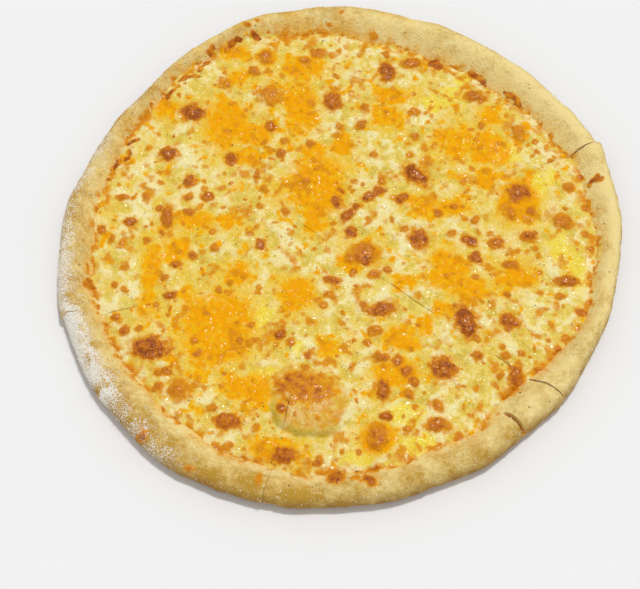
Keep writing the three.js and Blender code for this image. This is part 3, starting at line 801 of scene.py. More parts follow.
def patches(points, table, seed):
    """How much of each patch, given by its box in the photograph, lies at each point, and of the fade round it."""
    mask, fade = np.zeros(len(points)), np.zeros(len(points))
    shaken = points
    for amount, size, offset in PATCH_WARPS:
        shaken = warped(shaken, amount, size, seed + offset)
    for left, top, right, bottom in table:
        middle = under_pixel((left + right) / 2, (top + bottom) / 2)
        axes = half_axes(right - left, bottom - top)
        away = np.sum(np.abs((shaken - middle) / axes) ** PATCH_SQUARENESS, axis=1) ** (1 / PATCH_SQUARENESS)
        mask = np.maximum(mask, ramp("patch", away))
        fade = np.maximum(fade, ramp("patch fade", away))
    return mask, fade


@functools.cache
def cheese_spots():
    return [*named_spots(BLISTERS), *strewn_spots()]


@functools.cache
def rim_spots():
    return list(named_spots(RIM_DROPS))


def orange_marks(points, fleck):
    """Masks of the orange cheese and of the yellow cheese round it."""
    orange, fade = patches(points, ORANGE_PATCHES, PATCH_SEEDS["orange"])
    streaked = field(points, "orange streaks") + PATCH_IN_STREAKS * orange
    orange *= STREAKS_LEAST + ramp("orange streaks", streaked)
    stray = ramp("stray orange", field(points, "stray orange") + FADE_IN["orange"] * fade)
    butter = field(points, "butter") + FADE_IN["butter"] * fade + FLECK_IN["butter"] * fleck
    return np.maximum(orange, stray), ramp("butter", butter)


def bubble_marks(points):
    """The great bubble: distance from its middle in half axes, browned crown and body, and painted wall shade."""
    middle = under_pixel(GREAT_BUBBLE.px, GREAT_BUBBLE.py)
    axes = half_axes(GREAT_BUBBLE.wide, GREAT_BUBBLE.tall)
    shaken = warped(points, *BUBBLE_WARP)
    away = np.hypot(*((shaken - middle) / axes).T)
    core, crown = patches(points, BUBBLE_BROWNING, PATCH_SEEDS["crown"])
    crown = (CROWN_TOAST + CROWN_CORE_TOAST * core) * crown * (1 + field(points, "crown"))
    body = ramp("bubble body", away) * (BUBBLE_TOAST + field(points, "bubble"))
    below = (shaken - middle) @ np.array(BUBBLE_SHADED_WAY) / axes[1]
    # Painted shade: the clear wall darkens only on the side away from the sun
    wall = ramp("bubble wall inside", away) * ramp("bubble wall outside", away) * ramp("bubble shaded side", below)
    return away, crown, body, wall


def cheese_marks(points):
    """The masks of the cheese's surface and its height above the melted level, all from the plan."""
    toast, rise = raised_spots(points, cheese_spots())
    lumps, fleck = field(points, "lumps"), field(points, "fleck")
    orange, butter = orange_marks(points, fleck)
    oil, _ = patches(points, OIL_PATCHES, PATCH_SEEDS["oil"])
    smudge = ramp("smudge", field(points, "smudge") + FLECK_IN["smudge"] * fleck)
    away, crown, body, olive = bubble_marks(points)
    toast = np.maximum.reduce((toast, body, smudge * ramp("off the bubble", away), crown))
    height = GREAT_BUBBLE_RISE * np.clip(1 - away**2, 0, 1) ** GREAT_BUBBLE_ROUNDNESS
    height += rise + CURD_RISE * lumps * (1 - ramp("bubble smoothness", away))
    height += field(points, "curds") + field(points, "level")
    height += (CRINKLE_LEAST + ramp("crinkle", toast)) * field(points, "crinkle")
    marks = {
        "toast": toast,
        "orange": orange,
        "butter": butter,
        "oil": oil,
        "curd": ramp("curd", lumps + FLECK_IN["curd"] * fleck),
        "whey": ramp("whey", lumps + field(points, "whey")),
        "olive": olive,
    }
    return marks, height


def dough_swell(points):
    """How far hand-shaped dough bulges or sinks, by the place in the plan."""
    return field(points, "dough swell") - DOUGH_SINK


def cheese_top(points, inset, bearing):
    """The masks and the height of the cheese at points of the plan."""
    marks, lift = cheese_marks(points)
    width = rim_width(bearing)
    line = slope_height(np.minimum(inset, width), bearing) + MELTED_LIP + dough_swell(points)
    climb = np.exp(-np.maximum(0, inset - width) / LIP_CLIMB)
    height = mm("cheese_level") * (1 - climb) + line * climb + lift * (1 - MARGIN_CALM * climb**2)
    uneven = field(points, "margin")
    buttery = climb**2 * ramp("margin butter", uneven)
    marks["butter"] = np.maximum(marks["butter"] * (1 - MARGIN_PALE * climb), buttery)
    margin = np.maximum(climb**2 * ramp("margin toast", uneven), ramp("brink toast", climb))
    marks["toast"] = np.maximum(marks["toast"], margin)
    marks["whey"] *= 1 - climb
    return marks, height


# Meshes


class Skin:
    """A closed surface that is gathered row by row and strip by strip."""

    def __init__(self):
        self.points, self.triangles, self.kinds, self.marks = [], [], [], []
        self.count = 0

    def add(self, points, **marks):
        """Adds points and their masks, and gives their numbers."""
        self.points.append(points)
        self.marks.append(marks)
        numbers = np.arange(self.count, self.count + len(points))
        self.count += len(points)
        return numbers

    def band(self, low, high, low_places=None, high_places=None, kind=0):
        """Fills between two chains of points, stepping on whichever chain is further behind."""
        low_places = np.linspace(0, 1, len(low)) if low_places is None else low_places
        high_places = np.linspace(0, 1, len(high)) if high_places is None else high_places
        places = np.concatenate((low_places[1:], high_places[1:]))
        on_high = np.repeat((0, 1), (len(low) - 1, len(high) - 1))
        steps = on_high[np.lexsort((on_high, places))]
        b = np.cumsum(steps) - steps
        a = np.cumsum(1 - steps) - (1 - steps)
        ahead = np.where(steps == 1, high[np.minimum(b + 1, len(high) - 1)], low[np.minimum(a + 1, len(low) - 1)])
        found = np.stack((low[a], high[b], ahead), axis=1)
        real = (found[:, 0] != found[:, 1]) & (found[:, 1] != found[:, 2]) & (found[:, 2] != found[:, 0])
        self.triangles.append(found[real])
        self.kinds.append(np.full(real.sum(), kind))

    def bands(self, rows):
        for low, high in zip(rows, rows[1:]):
            self.band(low, high)

    def close_cut(self, rows, widest, last, kind):
        """Fills the flat face of a cut, between the rows' end points above and below the widest row."""
        chain = np.array([row[-1 if last else 0] for row in rows])
        points = np.concatenate(self.points)
        radius = np.hypot(*(points[chain, :2] - CROSSING).T)
        upper, lower = chain[: widest + 1], chain[widest:][::-1]
        upper_places = np.maximum.accumulate(radius[: widest + 1]) / radius[widest]
        lower_places = np.maximum.accumulate(radius[widest:][::-1]) / radius[widest]
        if last:
            self.band(lower, upper, lower_places, upper_places, kind)
        else:
            self.band(upper, lower, upper_places, lower_places, kind)

    def build(self, name, materials, sharp=None):
        """Makes the mesh, with its middle moved to where the frame has the pie, and an object that shows it."""
        points = (np.concatenate(self.points) + (*PIE_SHIFT, 0)) * MM
        triangles = np.concatenate(self.triangles)
        mesh = bpy.data.meshes.new(name)
        mesh.vertices.add(len(points))
        mesh.vertices.foreach_set("co", points.ravel())
        mesh.loops.add(triangles.size)
        mesh.loops.foreach_set("vertex_index", triangles.ravel())
        mesh.polygons.add(len(triangles))
        mesh.polygons.foreach_set("loop_start", np.arange(0, triangles.size, 3))
        mesh.polygons.foreach_set("material_index", np.concatenate(self.kinds))
        mesh.update(calc_edges=True)
        for mark in sorted({mark for marks in self.marks for mark in marks}):
            values = [marks.get(mark, np.zeros(len(part))) for marks, part in zip(self.marks, self.points)]
            layer = mesh.attributes.new(mark, "FLOAT", "POINT")
            layer.data.foreach_set("value", np.concatenate(values).astype(np.float32))
        mesh.shade_smooth()
        if sharp:
            mesh.set_sharp_from_angle(angle=math.radians(sharp))
        for material in materials:
            mesh.materials.append(material)
        shown = bpy.data.objects.new(name, mesh)
        bpy.context.scene.collection.objects.link(shown)
        return shown


def fan(piece, reach, step, inner=0.0):
    """Rows across a slice from its tip outwards: shares across, shares of the way out, and how many each row has."""
    count = max(1, round(reach * (1 - inner) / step))
    outs = inner + (1 - inner) * np.arange(count + 1) / count
    across = [shares(piece, reach * out, step) if out else np.array((0.5,)) for out in outs]
    sizes = [len(row) for row in across]
    return np.concatenate(across), np.repeat(outs, sizes), sizes


def shares(piece, radius, step):
    """Even shares across a slice, about a step apart at a distance from the crossing."""
    return np.linspace(0, 1, max(1, round(piece.span * radius / step)) + 1)


def in_rows(numbers, sizes):
    return np.split(numbers, np.cumsum(sizes)[:-1])


def crust_of(piece):
    """The dough of one slice: the slope under the cheese, the rim, its outer side, and the underside."""
    mean = float(piece.edge(np.array((0.5,)))[0])
    step, under_step, width = mm("rim_step"), mm("under_step"), mm("rim_width")
    parts = []

    def add(across, sizes, inset, height, out, up, under):
        """Notes rows of points, how far they swell outwards and upwards, and how low on the side they are."""
        flat = np.zeros(len(across))
        parts.append((sizes, np.stack([value + flat for value in (across, inset, height, out, up, under)])))

    across, out, sizes = fan(piece, mean - width - SLOPE_UNDER_CHEESE, COARSE_STEP)
    edge = piece.edge(across)
    reach = out * (edge - rim_width(piece.bearing(across)) - SLOPE_UNDER_CHEESE)
    add(across, sizes, edge - reach, mm("dough"), 0, 0, 0)
    across = shares(piece, mean, step)
    bearing, one_row = piece.bearing(across), [len(across)]
    crest = CREST_SHARE * rim_width(bearing)
    for share in np.linspace(1, 0, round(((1 - CREST_SHARE) * width + SLOPE_UNDER_CHEESE) / step) + 1)[1:]:
        inset = crest + share * (rim_width(bearing) + SLOPE_UNDER_CHEESE - crest)
        add(across, one_row, inset, slope_height(inset, bearing), 0, ramp("slope", share), 0)
    for turn in np.linspace(90, 0, round(OUTER_ARC / step) + 1)[1:]:
        angle = math.radians(turn)
        # The low side takes the under colour: browned base and painted shade below the rim's bulge
        low = ramp("low side", turn)
        add(across, one_row, *outer_side(turn, bearing), math.cos(angle), math.sin(angle), low)
    widest = sum(len(sizes) for sizes, _ in parts) - 1
    for turn in np.linspace(0, -90, round(TUCK_ARC / step) + 1)[1:]:
        angle = math.radians(turn)
        add(across, one_row, *outer_side(turn, bearing), math.cos(angle), math.sin(angle), 1)
    across, out, sizes = fan(piece, mean - BOTTOM_TUCK - under_step, under_step)
    edge = piece.edge(across)
    flipped = np.concatenate(in_rows(np.arange(len(across)), sizes)[::-1])
    reach = out * (edge - BOTTOM_TUCK - under_step)
    add(across[flipped], sizes[::-1], (edge - reach)[flipped], 0, 0, UNDERSIDE_UP, 1)

    across, inset, height, out, up, under = np.concatenate([values for _, values in parts], axis=1)
    bearing = piece.bearing(across)
    points = piece.place(across, piece.edge(across) - inset)
    solid = np.column_stack((points, height))
    bulge = dough_swell(points) + field(solid, "dough grain")
    toast, rise = raised_spots(points, rim_spots())
    upper = up > 0
    slit = slit_mask(points, inset) * upper
    away = (points - CROSSING) / np.maximum(1, np.hypot(*(points - CROSSING).T))[:, None]
    solid[:, :2] += (out * bulge)[:, None] * away
    solid[:, 2] = np.maximum(0, solid[:, 2] + up * (bulge + np.where(out > STEEP_SIDE, 0, rise)))
    solid[:, 2] -= slit * np.maximum(0, solid[:, 2] - SLIT["floor"])
    past = np.maximum(0, rim_width(bearing) - inset)
    stained = np.exp(-past / STAIN_REACH) + bulges(STAIN_BULGES, bearing)
    stain = stained * ramp("stain", field(points, "stain") + STAIN_FULLER * np.exp(-past / STAIN_EDGE))
    singe = np.exp(-past / SINGE_REACH) * ramp("singe", field(points, "singe"))
    skin = Skin()
    numbers = skin.add(
        solid,
        toast=np.maximum.reduce((toast, singe, SLIT_TOAST * slit)) * upper,
        flour=flour_dust(points, bearing, inset) * (up > LOWEST_DUST),
        # tan holds browning and painted shade on the lower-left side
        tan=tan_and_shade_by_side(bearing, inset),
        under=under,
        stain=stain * upper,
    )
    rows = in_rows(numbers, [size for sizes, _ in parts for size in sizes])
    skin.bands(rows)
    for last in (False, True):
        skin.close_cut(rows, widest, last, kind=1)
    return skin


def slit_mask(points, inset):
    """Where the short slit in the rim has parted the dough."""
    heading = math.radians(SLIT["heading"])
    across = (points - CROSSING) @ np.array((-math.sin(heading), math.cos(heading)))
    ahead = (points - CROSSING) @ np.array((math.cos(heading), math.sin(heading)))
    opened = SLIT_MOUTH - SLIT_NARROWING * np.clip(inset / SLIT["length"], 0, 1)
    half = SLIT["width"] / 2 * opened + field(points, "slit edge")
    parted = smooth(half + SLIT_LIPS[0], half - SLIT_LIPS[1], np.abs(across))
    return parted * smooth(SLIT["length"], SLIT["length"] - SLIT["taper"], inset) * (ahead > 0)


def cheese_of(piece):
    """The melted cheese of one slice, down to the dough under it."""
    mean = float(piece.edge(np.array((0.5,)))[0]) - mm("rim_width")
    skin = Skin()

    def line(across):
        """Inset of the cheese's uneven outer line."""
        bearing = piece.bearing(across)
        points = piece.place(across, piece.edge(across) - rim_width(bearing))
        ragged = field(points, "cheese line") + field(points, "cheese line edge")
        return rim_width(bearing) + ragged + bulges(CHEESE_LINE_BULGES, bearing)

    across, out, sizes = fan(piece, mean, mm("cheese_step"))
    edge = piece.edge(across)
    reach = out * (edge - line(across))
    points = piece.place(across, reach)
    marks, height = cheese_top(points, edge - reach, piece.bearing(across))
    for side in (0, 1):
        gap = cut_gap((piece.index + side) % SLICES, reach)
        away = np.abs(across - side) * piece.span * reach
        height -= GAP_DIP * np.clip(gap - HEALED_GAP, 0, 1) * np.exp(-away / GAP_DIP_REACH)
    rows = in_rows(skin.add(np.column_stack((points, height)), **marks), sizes)

    last = slice(-sizes[-1], None)
    across, brink = across[last], height[last]
    edge, bearing, inset = edge[last], piece.bearing(across), line(across)
    for beyond, drop in LIP_ROWS:
        points = piece.place(across, edge - inset + beyond)
        low = slope_height(inset - beyond, bearing) + dough_swell(points) - LIP_SINK
        lip = np.maximum(low, brink - drop * (brink - low))
        faded = {mark: LIP_MARKS * values[last] for mark, values in marks.items()}
        rows.append(skin.add(np.column_stack((points, lip)), **faded))
    widest = len(rows) - 1

    across, out, sizes = fan(piece, mean, COARSE_STEP)
    edge = piece.edge(across)
    reach = out * (edge - line(across))
    bearing, inset = piece.bearing(across), edge - reach
    points = piece.place(across, reach)
    swell = dough_swell(points) * smooth(*UNDERSIDE_FADE, inset - rim_width(bearing))
    height = slope_height(inset, bearing) + np.minimum(0, swell) - LIP_SINK
    rows += in_rows(skin.add(np.column_stack((points, height))), sizes)[::-1]
    skin.bands(rows)
    for last in (False, True):
        skin.close_cut(rows, widest, last, kind=0)
    return skin


def flour_dust(points, bearing, inset):
    """How thickly flour lies on the rim."""
    dust = np.zeros(len(points))
    for middle, spread, amount in FLOUR_STRETCHES:
        away = np.abs(degrees_off(np.degrees(bearing), middle))
        dust = np.maximum(dust, amount * ramp("flour spread", away / spread))
    low = ramp("flour low", inset / rim_width(bearing))
    return dust * low * ramp("flour patches", field(points, "flour"))


def tan_and_shade_by_side(bearing, inset):
    """How browned the dough is, by its side of the pie, with painted shade darkest at the lower left."""
    browned = np.clip(TAN_MEAN + waves(TAN_AND_SHADE_WAVES, bearing), 0, 1)
    return browned * ramp("tan", inset / rim_width(bearing))


def chips(skin, points, heights, lengths, flatness, rng):
    """Adds small uneven eight-sided crumbs at points."""
    corners = np.array(((1, 0, 0), (0, 1, 0), (-1, 0, 0), (0, -1, 0), (0, 0, 1), (0, 0, -1)), float)
    faces = np.array([(i, (i + 1) % 4, 4) for i in range(4)] + [((i + 1) % 4, i, 5) for i in range(4)])
    for (x, y), height, long in zip(points, heights, lengths):
        wide, turn = long * rng.uniform(*CHIP_BREADTH), rng.uniform(0, 2 * math.pi)
        shape = corners * (long / 2, wide / 2, flatness * wide / 2) * rng.uniform(*CHIP_UNEVENNESS, (6, 1))
        shape[:, 2] += rng.uniform(-CHIP_SLANT, CHIP_SLANT) * shape[:, 0]
        spin = np.array(((math.cos(turn), math.sin(turn), 0), (-math.sin(turn), math.cos(turn), 0), (0, 0, 1)))
        numbers = skin.add(shape @ spin + (x, y, height))
        skin.triangles.append(faces + numbers[0])
        skin.kinds.append(np.zeros(len(faces), int))


def surface_height(points):
    """Height of what shows from above at points: the cheese, or the rim outside it."""
    inset, bearing = locate(points)
    _, cheese = cheese_top(points, inset, bearing)
    rim = rim_top(np.maximum(inset, 0), bearing) - RIM_SINK
    return np.where(inset > rim_width(bearing), cheese, rim)


def shred(skin, row):
    """Adds one shred of browned cheese, which follows the rim and tapers at its ends."""
    bearing = math.radians(row.bearing)
    middle = (float(pie_radius(bearing)) - row.inset) * np.array((math.cos(bearing), math.sin(bearing)))
    along = bearing + math.pi / 2 + math.radians(row.turn)
    ahead, side = np.array((math.cos(along), math.sin(along))), np.array((-math.sin(along), math.cos(along)))
    stations = np.linspace(-1, 1, SHRED_STATIONS)
    bend = SHRED_BEND * row.length * (1 - stations**2) * (1 if row.length % 2 else -1)
    centre = middle + np.outer(stations * row.length / 2, ahead) + np.outer(bend, side)
    centre += SHRED_WANDER * np.stack((field(centre, "shred bend x"), field(centre, "shred bend y")), axis=1)
    half = SHRED_WIDTH / 2 * np.sqrt(np.clip(1 - stations**4, 0, 1)) * (1 + field(centre, "shred width"))
    rings = []
    for angle in np.linspace(0, 2 * math.pi, SHRED_SIDES, endpoint=False):
        points = centre + np.outer(half * math.cos(angle), side)
        lift = np.where(math.sin(angle) > 0, 1.0, SHRED_SUNK_SHARE) * half * math.sin(angle) * SHRED_FLATNESS
        height = surface_height(points) + lift + SHRED_LIFT + field(points, "shred height")
        toast = SHRED_TOAST_MEAN + field(points, "shred toast") + SHRED_TOP_TOAST * math.sin(angle)
        rings.append(skin.add(np.column_stack((points, height)), toast=np.clip(toast, *SHRED_TOAST)))
    skin.bands((rings + rings[:1])[::-1])
    for end in (0, -1):
        loop = np.array([ring[end] for ring in rings])
        pairs = zip(loop[1:], loop[2:])
        cap = np.array([(loop[0], after, before) if end else (loop[0], before, after) for before, after in pairs])
        skin.triangles.append(cap)
        skin.kinds.append(np.zeros(len(cap), int))


# Materials


class Shading:
    """Shorthand for the nodes of one material or group."""

    def __init__(self, tree):
        self.tree = tree

    def node(self, kind, settings=None, **sockets):
        made = self.tree.nodes.new("ShaderNode" + kind)
        for name, value in (settings or {}).items():
            setattr(made, name, value)
        self.fill(made, **sockets)
        return made

    def fill(self, made, **sockets):
        """Sets or links a node's inputs, whose names have an underscore for each space."""
        for name, value in sockets.items():
            self.feed(made.inputs[name.replace("_", " ")], value)

    def feed(self, socket, value):
        if isinstance(value, bpy.types.NodeSocket):
            self.tree.links.new(value, socket)
        else:
            socket.default_value = value

    def mix(self, share, low, high):
        made = self.node("Mix", {"data_type": "RGBA"})
        for number, value in ((0, share), (6, low), (7, high)):
            self.feed(made.inputs[number], value)
        return made.outputs[2]

    def maths(self, operation, first, second, clamp=False):
        made = self.node("Math", {"operation": operation, "use_clamp": clamp})
        self.feed(made.inputs[0], first)
        self.feed(made.inputs[1], second)
        return made.outputs[0]

    def add(self, first, second, clamp=False):
        return self.maths("ADD", first, second, clamp)

    def less(self, first, second):
        return self.maths("SUBTRACT", first, second)

    def times(self, first, second):
        return self.maths("MULTIPLY", first, second)

    def larger(self, first, second):
        return self.maths("MAXIMUM", first, second)

    def between(self, value, low, high, most=1.0):
        """A soft step from nothing at a low value to the most at a high one."""
        sockets = {"Value": value, "From_Min": low, "From_Max": high, "To_Max": most}
        return self.node("MapRange", {"interpolation_type": "SMOOTHSTEP"}, **sockets).outputs["Result"]

    def mark(self, name):
        """One of the masks that the mesh carries."""
        return self.node("Attribute", {"attribute_name": name}).outputs["Fac"]

    def noise(self, size_mm, detail=3.0, stretch=None):
        """Noise in the pie's own coordinates, with lumps of about a size."""
        where = self.node("TexCoord").outputs["Object"]
        if stretch:
            where = self.node("Mapping", Vector=where, Scale=stretch).outputs["Vector"]
        return self.node("TexNoise", Vector=where, Scale=1 / (size_mm * MM), Detail=detail).outputs["Fac"]


def node_group(name, inputs, outputs):
    """An empty shader group with named sockets, and its shading shorthand."""
    group = bpy.data.node_groups.new(name, "ShaderNodeTree")
    for socket, kind in inputs:
        group.interface.new_socket(socket, in_out="INPUT", socket_type=kind)
    for socket, kind in outputs:
        group.interface.new_socket(socket, in_out="OUTPUT", socket_type=kind)
    shading = Shading(group)
    entry = group.nodes.new("NodeGroupInput")
    leave = group.nodes.new("NodeGroupOutput")
    return group, shading, entry.outputs, leave.inputs


def toasting_group():
    """Colour that goes from bare through golden and brown to nearly black as it is baked harder."""
    inputs = [(name, "NodeSocketColor") for name in ("Color", "Golden", "Brown", "Dark")]
    inputs += [(name, "NodeSocketFloat") for name in ("Toast", "Mottle")]
    outputs = [("Color", "NodeSocketColor"), ("Toasted", "NodeSocketFloat")]
    group, shading, given, out = node_group("Toasting", inputs, outputs)
    fine, coarse = (shading.less(shading.noise(*lumps), 0.5) for lumps in MOTTLE_LUMPS)
    mottle = shading.times(shading.add(fine, coarse), given["Mottle"])
    uneven = shading.add(given["Toast"], shading.times(mottle, given["Toast"]))
    tint = given["Color"]
    for darker, start, full in TOAST_STEPS:
        tint = shading.mix(shading.between(uneven, start, full), tint, given[darker])
    shading.feed(out["Color"], tint)
    shading.feed(out["Toasted"], uneven)
    return group


def grain_group():
    """Fine uneven height of two sizes of lump."""
    inputs = [("Fine", "NodeSocketFloat"), ("Coarse", "NodeSocketFloat")]
    group, shading, given, out = node_group("Fine Grain", inputs, [("Height", "NodeSocketFloat")])
    fine, coarse = (
        shading.times(shading.noise(*lumps), given[name]) for lumps, (name, _) in zip(GRAIN_LUMPS, inputs)
    )
    shading.feed(out["Height"], shading.add(fine, coarse))
    return group


def shared_group(name, make):
    return bpy.data.node_groups.get(name) or make()


def new_material(name):
    material = bpy.data.materials.new(name)
    material.use_nodes = True
    material.node_tree.nodes.clear()
    shading = Shading(material.node_tree)
    surface = shading.node("BsdfPrincipled")
    output = shading.node("OutputMaterial")
    shading.feed(output.inputs["Surface"], surface.outputs["BSDF"])
    return material, shading, surface


def toasted(shading, colour, toast, mottle):
    """A colour after baking, and how baked it is, unevenness counted in."""
    group = {"node_tree": shared_group("Toasting", toasting_group)}
    browns = {"Golden": hue("golden"), "Brown": hue("sienna"), "Dark": hue("umber")}
    made = shading.node("Group", group, Color=colour, Toast=toast, Mottle=mottle, **browns)
    return made.outputs["Color"], made.outputs["Toasted"]


def grain_bump(shading, surface, fine, coarse, depth_mm):
    """Feeds the surface's normal with fine grain of a depth."""
    group = {"node_tree": shared_group("Fine Grain", grain_group)}
    made = shading.node("Group", group, Fine=fine, Coarse=coarse)
    bump = shading.node("Bump", Height=made.outputs["Height"], Distance=depth_mm * MM, Strength=1.0)
    shading.feed(surface.inputs["Normal"], bump.outputs["Normal"])


def layered(shading, tint, layers):
    """A colour under layers of others, each with its share."""
    for share, over in layers:
        tint = shading.mix(share, tint, over)
    return tint


def cheese_material():
    material, shading, surface = new_material("melted_cheese")
    uneven = shading.times(shading.less(shading.noise(1.0, 4), 0.5), 0.6)
    pale = shading.add(shading.mark("curd"), shading.times(uneven, 1.5), clamp=True)
    yellow = shading.add(shading.mark("butter"), uneven, clamp=True)
    bubbles = shading.noise(0.85, 3)
    patchy = shading.add(shading.mark("orange"), uneven)
    cloudy = shading.less(patchy, shading.between(shading.noise(3.2, 4), 0.42, 0.66, 0.7))
    thin = shading.mix(shading.between(cloudy, 0.0, 0.9), hue("amber"), hue("orange"))
    tint = shading.mix(shading.between(pale, 0.1, 0.9), hue("cream"), hue("curd"))
    tint = layered(shading, tint, (
        (shading.times(shading.mark("whey"), 0.75), hue("whey")),
        (shading.times(yellow, 0.85), hue("butter")),
        (shading.between(shading.mark("oil"), 0.0, 1.0, 0.75), hue("oil")),
        (shading.between(bubbles, 0.52, 0.7, 0.7), hue("curd")),
        (shading.between(bubbles, 0.46, 0.3, 0.5), hue("butter")),
        (shading.between(patchy, 0.05, 0.8), thin),
        # painted shade on the great bubble's clear wall
        (shading.times(shading.mark("olive"), 0.8), hue("olive")),
    ))
    tint, browned = toasted(shading, tint, shading.mark("toast"), CHEESE_MOTTLE)
    blistered = shading.between(browned, 0.3, 0.6)
    wet = shading.between(shading.noise(2.0, 3), 0.54, 0.66, 0.95)
    wet = shading.larger(wet, blistered)
    wet = shading.larger(wet, shading.between(shading.mark("oil"), 0.2, 0.9, 0.3))
    beads = shading.add(shading.between(shading.noise(1.5, 2), 0.44, 0.54, 0.8), 0.2)
    shading.fill(
        surface,
        Base_Color=tint,
        Roughness=shading.less(DRY_CHEESE_ROUGHNESS, shading.times(wet, WET_CHEESE_SMOOTHER)),
        Specular_IOR_Level=0.09,
        Coat_Weight=shading.times(wet, beads),
        Coat_Roughness=0.2,
        Coat_IOR=1.42,
    )
    wrinkles = shading.less(1.0, shading.times(wet, 0.9))
    coarse = shading.add(0.8, shading.times(blistered, 1.2))
    grain_bump(shading, surface, wrinkles, coarse, GRAIN_DEPTH)
    return material


def crust_material():
    material, shading, surface = new_material("baked_crust")
    blotch = shading.between(shading.noise(12, 4), 0.35, 0.68)
    small = shading.between(shading.noise(2.6, 4), 0.3, 0.7)
    grainy = shading.less(shading.noise(0.9, 3), 0.5)
    both = shading.less(shading.add(shading.times(blotch, 0.6), shading.times(small, 0.4)), 0.5)
    uneven = shading.add(both, shading.times(grainy, 1.1))
    # The tan mark is browning with painted shade on the lower-left side
    tan = shading.add(shading.mark("tan"), shading.times(uneven, 0.9), clamp=True)
    # The under colour on the low side is partly browned base and partly painted shade
    low = shading.times(shading.mark("under"), shading.between(shading.noise(7, 4), 0.15, 0.65))
    stain = shading.mix(shading.between(shading.noise(1.6, 3), 0.35, 0.65), hue("amber"), hue("golden"))
    tint = layered(shading, hue("dough"), (
        (tan, hue("tan")),
        (low, hue("under")),
        (shading.times(shading.mark("stain"), 0.6), stain),
    ))
    tint, browned = toasted(shading, tint, shading.mark("toast"), CRUST_MOTTLE)
    scorch = shading.times(shading.mark("under"), shading.between(shading.noise(17, 4), 0.56, 0.8, 0.7))
    dusty = shading.add(shading.noise(0.8, 4), shading.times(shading.mark("flour"), 0.38))
    powder = shading.times(shading.between(dusty, 0.58, 0.85), shading.between(shading.mark("flour"), 0.0, 0.35))
    shading.fill(
        surface,
        Base_Color=layered(shading, tint, ((scorch, hue("umber")), (powder, hue("flour")))),
        Roughness=shading.less(BREAD_ROUGHNESS, shading.times(blotch, 0.15)),
        Specular_IOR_Level=0.15,
        Coat_Weight=shading.between(browned, 0.35, 0.7, 0.5),
        Coat_Roughness=0.18,
    )
    grain_bump(shading, surface, 1.0, 1.2, GRAIN_DEPTH)
    return material


def crumb_material():
    material, shading, surface = new_material("bread_crumb")
    # The pores take the darker tan colour as painted shade in their hollows
    painted_pore_shade = shading.between(shading.noise(1.6, 3, stretch=(1, 1, 1.6)), 0.36, 0.52)
    shading.fill(surface, Base_Color=shading.mix(painted_pore_shade, hue("tan"), hue("crumb")), Roughness=BREAD_ROUGHNESS)
    grain_bump(shading, surface, 0.5, 1.0, GRAIN_DEPTH)
    return material


def shred_material():
    material, shading, surface = new_material("browned_shreds")
    tint, _ = toasted(shading, hue("amber"), shading.mark("toast"), SHRED_MOTTLE)
    shading.fill(surface, Base_Color=tint, Roughness=0.5, Specular_IOR_Level=0.15, Coat_Weight=0.2)
    grain_bump(shading, surface, 0.6, 1.2, 0.4)
    return material


def fleck_material(name, first, second, size_mm, roughness):
    material, shading, surface = new_material(name)
    tint = shading.mix(shading.between(shading.noise(size_mm, 2), 0.35, 0.65), first, second)
    shading.fill(surface, Base_Color=tint, Roughness=roughness)
    grain_bump(shading, surface, 0.5, 0.5, 0.1)
    return material


# Operators


class PIZZA_OT_stage(bpy.types.Operator):
    """Sets the camera as the photograph has it, with a pale floor, a low bright sky and a soft sun"""

    bl_idname = "pizza.stage"
    bl_label = "Stage"

    def execute(self, context):
        scene = context.scene
        camera = bpy.data.objects.new("photo_camera", bpy.data.cameras.new("photo_camera"))
        scene.collection.objects.link(camera)
        camera.data.sensor_fit = "HORIZONTAL"
        camera.data.sensor_width = SENSOR
        camera.data.lens = SENSOR * FOCAL_PX / PHOTO_SIZE[0]
        camera.data.clip_end = CAMERA_REACH
        right, up, forward = eye_axes()
        place = (EYE + Vector((*PIE_SHIFT, 0))) * MM
        camera.matrix_world = Matrix.Translation(place) @ Matrix((right, up, -forward)).transposed().to_4x4()
        scene.camera = camera
        world = bpy.data.worlds.new("studio")
        world.use_nodes = True
        sky = world.node_tree.nodes["Background"]
        sky.inputs["Color"].default_value = (1, 1, 1, 1)
        sky.inputs["Strength"].default_value = SKY_STRENGTH
        scene.world = world
        sun = bpy.data.objects.new("sun", bpy.data.lights.new("sun", "SUN"))
        sun.data.energy, sun.data.angle = SUN_STRENGTH, math.radians(SUN_SOFTNESS)
        sun.rotation_euler = Vector(SUN_FROM).to_track_quat("Z", "Y").to_euler()
        scene.collection.objects.link(sun)
        scene.view_settings.view_transform = "Standard"
        skin = Skin()
        square = np.array(((-1, -1, 0), (1, -1, 0), (1, 1, 0), (-1, 1, 0)), float)
        corners = skin.add(square * FLOOR_HALF)
        skin.band(corners[:2], corners[[3, 2]])
        material, shading, surface = new_material("pale_floor")
        tint = shading.mix(shading.noise(FLOOR_CLOUDS, 2), *FLOOR_GREYS)
        shading.fill(surface, Base_Color=tint, Roughness=0.9)
        floor = skin.build("floor", [material])
        floor.location.z = -FLOOR_DROP * MM
        return {"FINISHED"}


class PIZZA_OT_crust(bpy.types.Operator):
    """Makes the baked dough of each slice"""

    bl_idname = "pizza.crust"
    bl_label = "Crust"

    def execute(self, context):
        materials = [crust_material(), crumb_material()]
        for index in range(SLICES):
            shown = crust_of(Slice(index)).build(f"crust_slice_{index + 1}", materials, CRUST_SHARP)
            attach(shown, "root")
            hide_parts(f"crust_{index + 1}")
        return {"FINISHED"}


